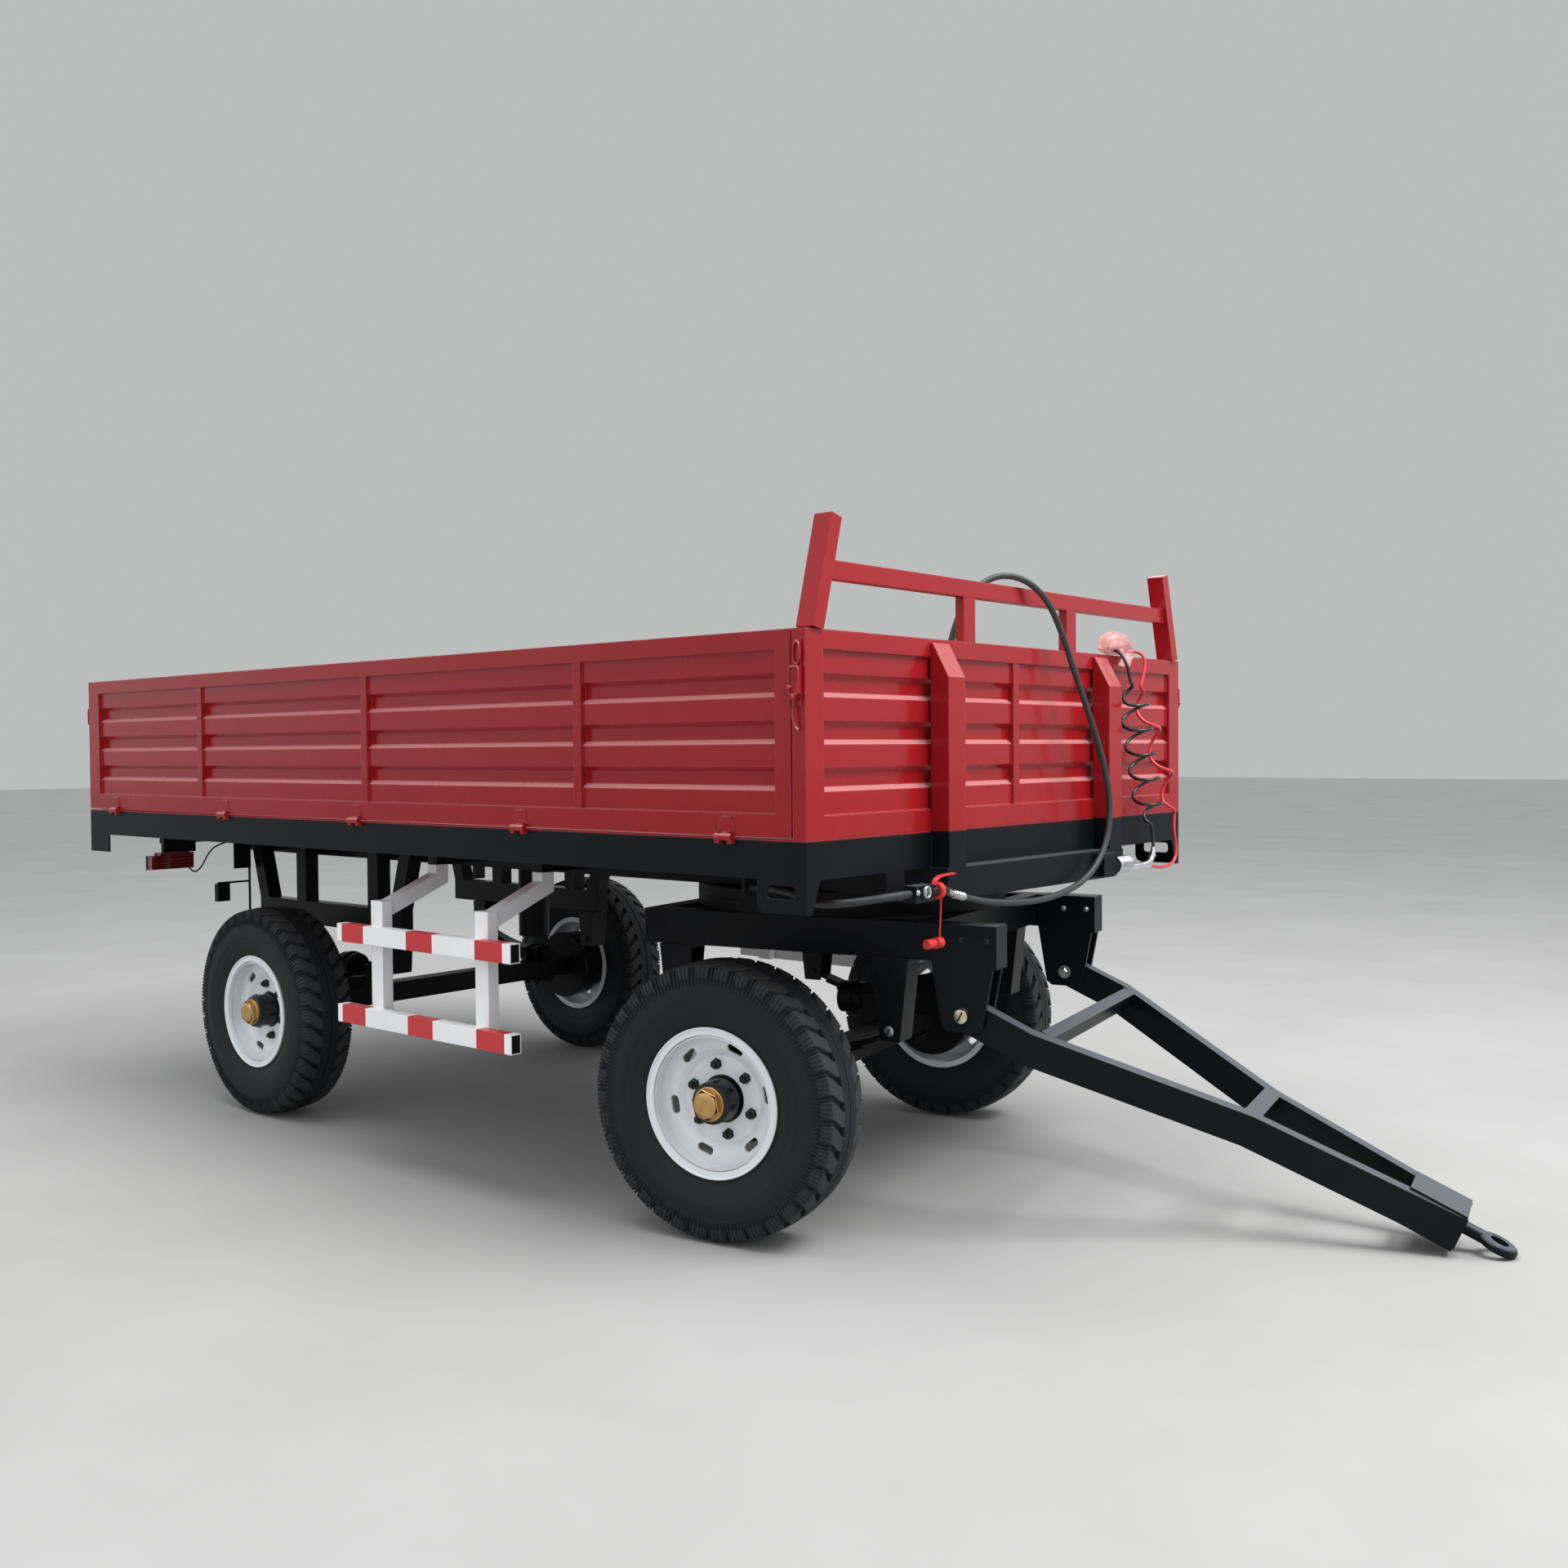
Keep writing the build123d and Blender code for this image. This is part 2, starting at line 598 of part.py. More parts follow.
def front_corner_bracket(side):
    """Slotted plate under a front corner with a tapering return across the front."""
    x0 = -170.0
    low = rail_bottom - 88
    y0, y1 = span_y(side, bed_side - plate, bed_side)
    corner = 24.0
    edge = [(x0, rail_bottom + 1), (x0, low + corner), (x0 + 0.3 * corner, low + 0.3 * corner),
            (x0 + corner, low), (0, low), (0, rail_bottom + 1)]
    slot_plane = Plane(origin=(-88, y0 - 1, low + 56), x_dir=(1, 0, 0), z_dir=(0, 1, 0))
    slot = extrude(slot_plane * RectangleRounded(98, 36, 12), plate + 2)
    shape = side_prism(edge, y0, y1) - slot
    outline = [(side * bed_side, rail_bottom + 1), (side * bed_side, low), (side * (bed_side - 20), low),
               (side * (bed_side - 57), rail_bottom + 1)]
    return shape + front_prism(outline, -plate, 0)


def rear_corner_bracket(side):
    """Plain plate under a rear corner."""
    y0, y1 = span_y(side, bed_side - plate, bed_side)
    return block(-bed_length, -bed_length + 165, y0, y1, rail_bottom - 73, rail_bottom + 1)


def front_beam():
    """Beam across the front below the rail, with the lower halves of the two uprights."""
    half = front_beam_half
    low = front_beam_low
    outline = [(-half, rail_bottom + 1), (half, rail_bottom + 1), (half, low + 20), (half - 60, low),
               (60 - half, low), (-half, low + 20)]
    parts = [front_prism(outline, -30.0, upright_depth)]
    for side in (-1, 1):
        y0 = side * upright_y - upright_width / 2
        parts.append(block(0, upright_depth, y0, y0 + upright_width, rail_bottom, rail_top))
    return join(*parts)


layout_width = 2140.0         # bed width, rail top and board height that the hose routes are given for
layout_rail_top = 1185.0
layout_board = 545.0
across = bed_width / layout_width
valve_z = rail_bottom - 54.0
valve_x = 78.0
valve_bracket_y = (-727.0 * across, -643.0 * across)
air_bracket_y = (340.0 * across, 428.0 * across)
air_line_z = (rail_bottom - 65.0, rail_bottom - 61.0)
bulkhead_x = 30.0 - bed_length / (cross_bearer_count + 1)


def hose_brackets():
    """Clamp for the hydraulic valve under the front rail, and the carrier of the air couplings."""
    y0, y1 = valve_bracket_y
    hanger = block(-plate, 0, y0, y1, valve_z - 25, rail_bottom + 1)
    shelf = block(-1, valve_x + 22, y0, y1, valve_z - 25, valve_z - 19)
    clamp = block(valve_x - 20, valve_x + 20, y0, y1, valve_z - 20, valve_z + 22)
    y0, y1 = air_bracket_y
    carrier = block(upright_depth - 1, upright_depth + 28, y0, y1, rail_bottom - 81, rail_bottom - 8)
    return [join(hanger, shelf, clamp), carrier]


def supply_bulkhead():
    """Plate hanging from a cross bearer that holds the inner end of the hydraulic supply line."""
    y_mid = supply_route[-1][1]
    return block(bulkhead_x - 2 * plate, bulkhead_x, y_mid - 30, y_mid + 30, valve_z - 35, rail_bottom + 40)


def bed_frame():
    """Outer rails, bearers over the chassis, cross bearers, tipping lugs, front beam and brackets."""
    parts = []
    for side in (-1, 1):
        outer = side * bed_side
        inner = side * (bed_side - bed_rail_width)
        web = side * (bed_side - bed_sheet)
        parts.append(block(-bed_length, 0, outer, web, rail_bottom, floor_bottom))
        parts.append(block(-bed_length, 0, outer, inner, rail_bottom, rail_bottom + bed_sheet))
        parts.append(block(-bed_length, 0, outer, inner, floor_bottom - bed_sheet, floor_bottom))
        z_mid = (rail_bottom + floor_bottom) / 2
        y_mid = side * chassis_half_width
        parts.append(beam((-bed_length + 20, y_mid, z_mid), (-20, y_mid, z_mid), bearer_width,
                          floor_bottom - rail_bottom, wall=bed_sheet))
        parts.append(tipping_lugs(side))
        parts.append(front_corner_bracket(side))
        parts.append(rear_corner_bracket(side))
    clear = bed_side - bed_sheet
    for x0 in (-bed_length, -bed_rail_width):
        parts.append(block(x0, x0 + bed_rail_width, -clear, clear, rail_bottom, floor_bottom))
    spacing = bed_length / (cross_bearer_count + 1)
    for k in range(cross_bearer_count):
        x0 = -bed_length + spacing * (k + 1) - cross_bearer_width / 2
        parts.append(block(x0, x0 + cross_bearer_width, -clear, clear,
                           floor_bottom - cross_bearer_height, floor_bottom))
    return join(*parts, lift_bracket(), front_beam(), supply_bulkhead(), *hose_brackets())


def bed_floor():
    """Floor plate over the whole frame."""
    return block(-bed_length, 0, -bed_side, bed_side, floor_bottom, rail_top)


# ---- boards -------------------------------------------------------------------------------
panel_rail = 52.0             # height of a board's top rail
panel_sill = 62.0             # and of its bottom rail
channel_count = 3
channel_height = 62.0
channel_depth = 14.0
channel_slope = 13.0
band_setback = 10.0           # of the sheet's raised bands behind the frame's face
sheet_thickness = 3.0
rib_width = 34.0
rib_setback = 2.0
board_end_gap = 5.0
hinge_radius = 10.0
hinge_pin_radius = 5.0
hinge_length = 60.0
hinge_leaf = 16.0             # length of each outer knuckle
hinge_offset = 12.0           # from a board's outer face to its hinge line
hinge_strap = 42.0            # height of a hinge's strap on the board
hinge_z = rail_top + 2.0
lug_drop = 17.0               # of the hinge lugs' lower ends below the hinge line


def wall_panel(length, height, stiles, ribs):
    """Framed panel laid in x and z, outer face at y = 0 and inner face at y = board_thickness.

    The corrugated sheet lies behind the frame: raised bands with recessed channels between them.
    """
    low = panel_sill
    high = height - panel_rail
    thick = board_thickness
    parts = [block(0, length, 0, thick, 0, low), block(0, length, 0, thick, high, height),
             block(0, stiles[0], 0, thick, low, high), block(length - stiles[1], length, 0, thick, low, high)]
    for x_mid in ribs:
        parts.append(block(x_mid - rib_width / 2, x_mid + rib_width / 2, rib_setback, thick, low, high))
    band = (high - low - channel_count * channel_height) / (channel_count + 1)
    deep = band_setback + channel_depth
    front = [(band_setback, low)]
    for k in range(channel_count):
        z0 = low + band * (k + 1) + channel_height * k
        z1 = z0 + channel_height
        front += [(band_setback, z0), (deep, z0 + channel_slope)]
        front += [(deep, z1 - channel_slope), (band_setback, z1)]
    front.append((band_setback, high))
    back = [(y + sheet_thickness, z) for y, z in reversed(front)]
    return join(*parts, front_prism(front + back, stiles[0] / 2, length - stiles[1] / 2))


def board(length, stiles, ribs, hinges):
    """Hinged board: wall panel with its hinge straps and bored knuckles."""
    shape = wall_panel(length, board_top - board_bottom, stiles, ribs)
    z_line = hinge_z - board_bottom
    half = hinge_length / 2 - hinge_leaf
    for x_mid in hinges:
        x0 = x_mid - half
        x1 = x_mid + half
        knuckle = rod((x0, -hinge_offset, z_line), (x1, -hinge_offset, z_line), hinge_radius)
        arm = block(x0, x1, -hinge_offset, 0, 0, hinge_radius)
        half_low = hinge_length / 2
        half_high = half_low - 10
        top = 10 + hinge_strap
        outline = [(x_mid - half_low, 10), (x_mid + half_low, 10), (x_mid + half_high, top),
                   (x_mid - half_high, top)]
        strap = side_prism(outline, -4, 0)
        shape = join(shape, knuckle, arm, strap)
    pin_line = [(-1, -hinge_offset, z_line), (length + 1, -hinge_offset, z_line)]
    return shape - rod(*pin_line, hinge_pin_radius + running_fit)


side_board_front = -corner_post - board_end_gap
side_board_length = bed_length + side_board_front
side_stiles = (90.0, 54.0)
side_ribs = [-share * bed_length for share in (0.7665, 0.4888, 0.2178)]
side_hinges = [-share * bed_length for share in (0.94, 0.719, 0.5, 0.282, 0.069)]
tailgate_half = bed_side - board_thickness - board_end_gap
tailgate_stile = 54.0
tail_hinges = [share * tailgate_half for share in (-0.83, 0.0, 0.83)]


def right_board():
    """Right drop side, as long as the bed behind the front corner post."""
    shape = board(side_board_length, side_stiles, [x + bed_length for x in side_ribs],
                  [x + bed_length for x in side_hinges])
    return Location((-bed_length, -bed_side, board_bottom)) * shape


def tailgate():
    """Tailgate between the two drop sides."""
    length = 2 * tailgate_half
    shape = board(length, (tailgate_stile, tailgate_stile), [length / 3, 2 * length / 3],
                  [tailgate_half + y for y in tail_hinges])
    return Location((-bed_length, tailgate_half, board_bottom)) * shape.rotate(Axis.Z, -90)


def hinge_lugs(positions):
    """Outer knuckles and pins of a row of hinges along x, on the line y = 0, z = 0."""
    groups = []
    half = hinge_length / 2
    for mid in positions:
        parts = [rod((mid - half, 0, 0), (mid + half, 0, 0), hinge_pin_radius)]
        for side in (-1, 1):
            x0, x1 = sorted((mid + side * half, mid + side * (half - hinge_leaf + side_gap)))
            parts.append(rod((x0, 0, 0), (x1, 0, 0), hinge_radius))
            parts.append(block(x0, x1, -4, hinge_offset, -lug_drop, -2))
        groups.append(join(*parts))
    return groups


def board_hinges():
    """Hinge lugs and pins of the three boards, fixed to the bed's rails."""
    right = [Location((0, -bed_side - hinge_offset, hinge_z)) * shape for shape in hinge_lugs(side_hinges)]
    left = [mirror(shape, Plane.XZ) for shape in right]
    rear = [Location((-bed_length - hinge_offset, 0, hinge_z)) * shape.rotate(Axis.Z, -90)
            for shape in hinge_lugs(tail_hinges)]
    return right + left + rear


# ---- front wall ---------------------------------------------------------------------------
front_stile = 30.0
front_rib_y = -48.0
headboard_post = (60.0, 42.0)
headboard_base_y = bed_side - 45.0
headboard_lean = 80.0
headboard_rail_z = board_top + 158.0
headboard_rail = (30.0, 50.0)
mid_post_y = 300.0
mid_post_width = 60.0


def front_panel():
    """Fixed front wall between its corner posts."""
    inner = bed_side - corner_post
    panel = wall_panel(2 * inner, board_height, (front_stile, front_stile), [inner + front_rib_y])
    panel = Location((0, -inner, rail_top)) * panel.rotate(Axis.Z, 90)
    posts = [block(-corner_post, 0, side * inner, side * bed_side, rail_top, board_top) for side in (-1, 1)]
    return join(panel, *posts)


def front_upright(side):
    """Box post on the front wall with its top cut back to the wall."""
    y0 = side * upright_y - upright_width / 2
    low = rail_top + seat_gap
    top = board_top - 12
    outline = [(seat_gap, low), (upright_depth, low), (upright_depth, top - upright_cut + 12),
               (seat_gap + 8, top), (seat_gap, top)]
    return side_prism(outline, y0, y0 + upright_width)


def headboard():
    """Leaning outer posts, rail and two short posts above the front wall."""
    wide, deep = headboard_post
    x_mid = -deep / 2
    half_x = headboard_rail[0] / 2
    half_z = headboard_rail[1] / 2
    parts = []
    for side in (-1, 1):
        foot = (x_mid, side * headboard_base_y, board_top)
        head = (x_mid, side * (headboard_base_y - headboard_lean), board_top + headboard_height)
        post = beam(foot, head, deep, wide, up=(1, 0, 0))
        parts.append(post - block(-bed_side, bed_side, -bed_side, bed_side, board_top - wide, board_top))
        y0 = side * mid_post_y - mid_post_width / 2
        parts.append(block(x_mid - half_x, x_mid + half_x, y0, y0 + mid_post_width,
                           board_top, headboard_rail_z))
    reach = headboard_base_y - headboard_lean * (headboard_rail_z - board_top) / headboard_height
    parts.append(block(x_mid - half_x, x_mid + half_x, -reach, reach,
                       headboard_rail_z - half_z, headboard_rail_z + half_z))
    return join(*parts)


# ---- corner latches -----------------------------------------------------------------------
latch_top = board_top - 28.0
latch_length = 235.0
latch_width = 32.0


def latch():
    """Over-centre latch against the plane y = 0, standing out towards -y, with its top at z = 0."""
    half = latch_width / 2
    back = block(-half + 4, half - 4, -4, 0, -175, 0)
    clasp = block(-half, half, -26, -4, -145, -75)
    lever = side_prism([(-10, -140), (10, -140), (4, -latch_length), (-4, -latch_length)], -14, -4)
    ring_plane = Plane(origin=(0, -4, -40), x_dir=(1, 0, 0), z_dir=(0, -1, 0))
    loop = extrude(ring_plane * (Ellipse(13, 32) - Ellipse(8, 27)), 8)
    return join(back, clasp, lever, loop)


def front_latch(side):
    """Latch on the outer face of a front corner post."""
    shape = Location((-corner_post / 2, -bed_side - seat_gap, latch_top)) * latch()
    return shape if side < 0 else mirror(shape, Plane.XZ)


def rear_latch(side):
    """Latch on the rear end of a drop side."""
    y_mid = side * (bed_side - board_thickness / 2)
    return Location((-bed_length - seat_gap, y_mid, latch_top - 12)) * latch().rotate(Axis.Z, -90)


# ---- tipping cylinder ---------------------------------------------------------------------
barrel_bottom_z = rail_bottom - 420.0
barrel_top_z = rail_bottom - 40.0
barrel_wall = 5.0
barrel_foot = 12.0
gland_height = 25.0
stage_radii = [56.0, 47.0, 38.0, 29.0]
rod_eye_z = rail_bottom + 8.0
rod_eye_radius = 26.0
rod_eye_half = 22.0
rod_neck_radius = 18.0


def cylinder_barrel():
    """Outer tube of the tipping cylinder with its trunnions and closed foot."""
    floor_z = barrel_bottom_z + barrel_foot
    tube = rod((cylinder_x, 0, barrel_bottom_z), (cylinder_x, 0, barrel_top_z), cylinder_body_radius)
    bore = rod((cylinder_x, 0, floor_z), (cylinder_x, 0, barrel_top_z - gland_height),
               cylinder_body_radius - barrel_wall)
    gland = rod((cylinder_x, 0, floor_z), (cylinder_x, 0, barrel_top_z + 1), stage_radii[0] + running_fit)
    reach = trunnion_bearer_y + 14
    trunnion = y_cylinder(cylinder_x, -reach, reach, cylinder_trunnion_z, trunnion_radius)
    collar = trunnion_bearer_y - 15 - side_gap
    collars = y_cylinder(cylinder_x, -collar, collar, cylinder_trunnion_z, trunnion_radius + 10)
    return (tube + trunnion + collars) - bore - gland


def cylinder_stage(k):
    """One telescopic tube; the last one is the solid rod with the eye on top."""
    low = barrel_bottom_z + barrel_foot + 2 * (k + 1)
    top = barrel_top_z + 3 * (k + 1)
    body = rod((cylinder_x, 0, low), (cylinder_x, 0, top), stage_radii[k])
    if k < len(stage_radii) - 1:
        bore = stage_radii[k + 1] + running_fit
        return body - rod((cylinder_x, 0, low + 1), (cylinder_x, 0, top + 1), bore)
    eye = y_cylinder(cylinder_x, -rod_eye_half, rod_eye_half, rod_eye_z, rod_eye_radius)
    neck = rod((cylinder_x, 0, top - 2), (cylinder_x, 0, rod_eye_z), rod_neck_radius)
    return body + neck + eye


# ---- side guards and lamps ----------------------------------------------------------------
guard_rear_x = rear_axle_x + 815.0
guard_front_x = front_axle_x - 502.0
guard_tube_height = 62.0
guard_tube_depth = 40.0
guard_tube_wall = 3.0
guard_rail_zs = [rail_bottom - 568.0, rail_bottom - 286.0]
guard_post_xs = [guard_rear_x + 180.0, guard_front_x - 191.0]
guard_post_width = 66.0
guard_post_top = rail_bottom - 170.0
guard_stub_y = bed_side - 297.0
guard_stub_half = 25.0
outrigger_z = rail_bottom - 60.0
outrigger_height = 48.0
lamp_x = tip_hinge_x + 50.0
lamp_depth = 52.0
lamp_y = (bed_side - 332.0, bed_side - 140.0)
lamp_z = (rail_bottom - 158.0, rail_bottom - 86.0)
marker_x = lamp_x + 200.0
marker_y = spring_y + drop_beam_width / 2 + 12.0
marker_z = (rail_bottom - 299.0, rail_bottom - 224.0)
marker_arm = 150.0            # from the marker's rod to the outer face of its lens


def side_guard(side):
    """Guard rails on two posts, with struts up to the outriggers of the chassis."""
    parts = []
    y_rail = side * (bed_side - guard_tube_depth / 2)
    post_face = bed_side - guard_tube_depth
    post_back = post_face - guard_tube_depth
    low = guard_rail_zs[0] - guard_tube_height / 2
    for z_mid in guard_rail_zs:
        parts.append(beam((guard_rear_x, y_rail, z_mid), (guard_front_x, y_rail, z_mid), guard_tube_depth,
                          guard_tube_height, wall=guard_tube_wall))
    half = guard_post_width / 2
    stub = guard_stub_y - guard_stub_half
    strut = [(side * (post_back + 2), guard_post_top - 54), (side * (post_back + 2), guard_post_top),
             (side * stub, outrigger_z - 10), (side * stub, outrigger_z - 65)]
    for x_mid in guard_post_xs:
        y0, y1 = span_y(side, post_back, post_face)
        parts.append(block(x_mid - half, x_mid + half, y0, y1, low, guard_post_top))
        parts.append(front_prism(strut, x_mid - half + 8, x_mid + half - 8))
        y0, y1 = span_y(side, stub, stub + 2 * guard_stub_half)
        x0 = x_mid - guard_stub_half
        parts.append(block(x0, x0 + 2 * guard_stub_half, y0, y1, outrigger_z - 50, outrigger_z))
    return join(*parts)


def outriggers(side):
    """Arms from a chassis rail out to the side guard, the tail lamp and the marker."""
    shapes = []
    rail_face = chassis_half_width + chassis_rail_width / 2
    y0, y1 = span_y(side, rail_face, guard_stub_y + guard_stub_half)
    for x_mid in guard_post_xs:
        shapes.append(block(x_mid - guard_stub_half, x_mid + guard_stub_half, y0, y1,
                            outrigger_z, outrigger_z + outrigger_height))
    y0, y1 = span_y(side, rail_face, lamp_y[1] - 60)
    arm = block(lamp_x + 5, lamp_x + 45, y0, y1, lamp_z[1] + 40, chassis_rail_top - 2)
    y0, y1 = span_y(side, lamp_y[0] - 14, lamp_y[1] - 62)
    hanger = block(lamp_x + 16, lamp_x + 40, y0, y1, lamp_z[1], lamp_z[1] + 41)
    y0, y1 = span_y(side, marker_y - 5, marker_y + 72)
    hanging_plate = block(marker_x - 4, marker_x + 4, y0, y1, rail_bottom - 162, lamp_z[1] + 52)
    y0, y1 = span_y(side, marker_y + 20, marker_y + 32)
    tie = block(lamp_x + 40, marker_x + 4, y0, y1, lamp_z[1] + 40, lamp_z[1] + 52)
    pole_y = side * marker_y
    pole = rod((marker_x, pole_y, rail_bottom - 350), (marker_x, pole_y, rail_bottom - 160), 5)
    y0, y1 = span_y(side, marker_y, marker_y + marker_arm)
    stay = block(marker_x - 4, marker_x + 4, y0, y1, marker_z[1], marker_z[1] + 8)
    y0, y1 = span_y(side, marker_y + marker_arm - 50, marker_y + marker_arm + 6)
    box = block(marker_x - 14, marker_x + 14, y0, y1, marker_z[0], marker_z[1] + 1)
    shapes.append(join(arm, hanger, hanging_plate, tie, pole, stay, box))
    return shapes


def tail_lamp(side):
    """Red rear lamp."""
    y0, y1 = span_y(side, *lamp_y)
    return block(lamp_x, lamp_x + lamp_depth, y0, y1, *lamp_z)


# ---- hoses and air lines ------------------------------------------------------------------
hose_radius = 10.0
supply_radius = 11.0
air_line_radius = 5.0
black_coil_radius = 44.0
red_coil_radius = 36.0


def on_bed(points):
    """Route moved with the bed's width, rails and board height."""
    moved = []
    for x, y, z in points:
        above = z - layout_rail_top
        grown = above * board_height / layout_board if above > 0 else above
        moved.append((x, y * across, rail_top + grown))
    return moved


hose_route = on_bed([
    (78, -466, 998), (82, -375, 976), (87, -215, 960), (91, -20, 955), (97, 185, 988), (101, 320, 1078),
    (101, 366, 1215), (96, 335, 1350), (86, 268, 1495), (70, 195, 1640), (54, 138, 1775), (38, 70, 1885),
    (8, -30, 1946), (-40, -135, 1944), (-85, -215, 1860), (-106, -262, 1725), (-112, -285, 1580),
    (-108, -300, 1440), (-104, -318, 1310), (-112, -375, 1214), (-128, -500, 1196), (-150, -640, 1197)])
supply_route = on_bed([
    (78, -727.3, 1026), (78, -800, 1026), (52, -866, 1020), (-4, -908, 1011), (-74, -912, 1004),
    (-150, -878, 1002), (-218, -828, 1006), (-292, -786, 1012), (-376, -758, 1017)])
supply_route.append((bulkhead_x + seat_gap, -755.0 * across, valve_z - 8.0))
black_coil_route = on_bed([(76, 556, 1630), (70, 600, 1510), (67, 652, 1365), (66, 712, 1160)])
black_tail_route = on_bed([(66, 712, 1160), (70, 726, 1110), (76, 712, 1061)])
red_coil_route = on_bed([(60, 650, 1625), (62, 706, 1510), (65, 800, 1360), (68, 895, 1185)])
red_tail_route = on_bed([
    (68, 895, 1185), (71, 880, 1130), (75, 893, 1070), (78, 884, 1030), (78, 850, 1006), (76, 790, 1000),
    (73, 735, 1004), (70, 690, 1014)])


def corner_radii(points):
    """Arc radius at each inner point of a route: as large as its two runs allow."""
    radii = []
    for before, here, after in zip(points, points[1:], points[2:]):
        a = Vector(*here) - Vector(*before)
        b = Vector(*after) - Vector(*here)
        half_turn = math.radians(a.get_angle(b)) / 2
        radii.append(0.45 * min(a.length, b.length) / math.tan(half_turn))
    return radii


def cord_tube(points, radius):
    """Round tube along straight runs joined by tangent arcs."""
    radii = corner_radii(points)
    print("cord radii in diameters:", [round(r / (2 * radius), 1) for r in radii])
    path = FilletPolyline(*points, radius=radii)
    start = Plane(origin=path @ 0, z_dir=path % 0)
    tube = sweep(start * Circle(radius), path=path)
    ratio = tube.volume / (path.length * math.pi * radius ** 2)
    print("cord length", round(path.length), "volume ratio", round(ratio, 4))
    return tube


def fitting(route, offset, length, radius):
    """Cylinder that carries a cord's first run on past its first point, from an offset over a length."""
    first = Vector(*route[0])
    outward = (first - Vector(*route[1])).normalized()
    near = first + outward * offset
    far = near + outward * length
    return rod((near.X, near.Y, near.Z), (far.X, far.Y, far.Z), radius)


def union(route, ferrule_length, ferrule_radius, target, pipe_radius):
    """Ferrule on a cord's first run, a round joint behind it and a pipe from there to a target."""
    first = Vector(*route[0])
    joint = first + (first - Vector(*route[1])).normalized() * ferrule_length
    centre = (joint.X, joint.Y, joint.Z)
    ferrule = fitting(route, 0, ferrule_length, ferrule_radius)
    return join(ferrule, Location(centre) * Sphere(ferrule_radius), rod(centre, target, pipe_radius))


union_offset = 71.0           # of the hose's union from the valve's clamp


def hydraulic_valve():
    """Ball valve between the clamp and the hose, with its lever and the dust cap on its strap."""
    y0 = valve_bracket_y[1]
    y_mid = y0 + 50.0
    cap_z = valve_z - 145.0
    stem = y_cylinder(valve_x, y0, y0 + union_offset, valve_z, 14.0)
    body = y_cylinder(valve_x, y_mid - 12, y_mid + 12, valve_z, 25.0)
    post = block(valve_x - 9, valve_x + 9, y_mid - 9, y_mid + 6, valve_z, valve_z + 39)
    lever = block(valve_x - 9, valve_x + 9, y_mid - 9, y_mid + 78, valve_z + 34, valve_z + 39)
    strap = block(valve_x - 2, valve_x + 2, y_mid - 4, y_mid + 4, cap_z, valve_z)
    cap = y_cylinder(valve_x, y_mid - 60, y_mid + 14, cap_z, 13.0)
    collar = y_cylinder(valve_x, y_mid - 4, y_mid + 14, cap_z, 17.0)
    return join(stem, body, lever, post, strap, cap, collar)


def hose_fitting():
    """Plated union between the ball valve and the hydraulic hose."""
    y0 = valve_bracket_y[1] + union_offset
    nut = y_cylinder(valve_x, y0, y0 + 24, valve_z, 16.0)
    return nut + union(hose_route, 68.0, hose_radius + 2.5, (valve_x, y0 + 14, valve_z), 12.0)


def hose_plug():
    """Quick coupling at the free end of the hydraulic hose."""
    back = hose_route[::-1]
    return fitting(back, 0, 30.0, 12.0) + fitting(back, 30.0, 48.0, 10.0)


def air_couplings():
    """Coupling block of the air lines, an elbow pipe up to one line and a straight pipe to the other."""
    y0 = air_bracket_y[1]
    x_mid = upright_depth + 14
    low, high = air_line_z
    body = block(upright_depth + 1, upright_depth + 26, y0, y0 + 100, rail_bottom - 80, rail_bottom - 20)
    elbow_end = (x_mid, y0 + 212, high)
    elbow = union(black_tail_route[::-1], 26.0, 8.0, elbow_end, 9.0)
    pipe = rod((x_mid, y0 + 95, high), elbow_end, 9.5)
    straight = union(red_tail_route[::-1], 28.0, 8.0, (x_mid - 6, y0 + 95, low), 8.0)
    return join(body, elbow, pipe, Location(elbow_end) * Sphere(9.5), straight)


def coupling_bag():
    """Soft bag over the couplings' heads, lying on the front wall's top edge and down its face."""
    top = block(-50, 36, 520, 690, board_top + seat_gap, board_top + 62)
    front = block(seat_gap, 36, 530, 690, board_top - 62, board_top + seat_gap + 1)
    return top + front


# ---- nodes --------------------------------------------------------------------------------
nodes = {}


def add(name, *shapes):
    """Record a node, made of one shape or of several that do not touch."""
    nodes[name] = list(shapes)


def turned_bogie(shape):
    """Turn a shape of the bogie to the parked steering angle."""
    at_centre = Location((-front_axle_x, 0, 0)) * shape
    return Location((front_axle_x, 0, 0)) * at_centre.rotate(Axis.Z, park_steer)


def side_name(side):
    """Name of a side, as seen by someone walking forward."""
    return "right" if side < 0 else "left"


ring_middle = ring_bottom + ring_height / 2
sides = (-1, 1)
add("chassis_frame", chassis_frame())
add("turntable_upper_ring", ring(ring_middle + seat_gap, chassis_rail_bottom))
add("rear_axle", axle(rear_axle_x))
add("rear_leaf_springs", *[leaf_spring(rear_axle_x, side * spring_y) for side in sides])
for side in sides:
    add(f"rear_{side_name(side)}_drop_frame", drop_frame(side))
    add(f"{side_name(side)}_side_guard", side_guard(side))
add("outriggers", *[shape for side in sides for shape in outriggers(side)])
add("tail_lamps", *[tail_lamp(side) for side in sides])

add("cylinder_barrel", cylinder_barrel())
for k in range(len(stage_radii)):
    add(f"cylinder_stage_{k + 1}", cylinder_stage(k))

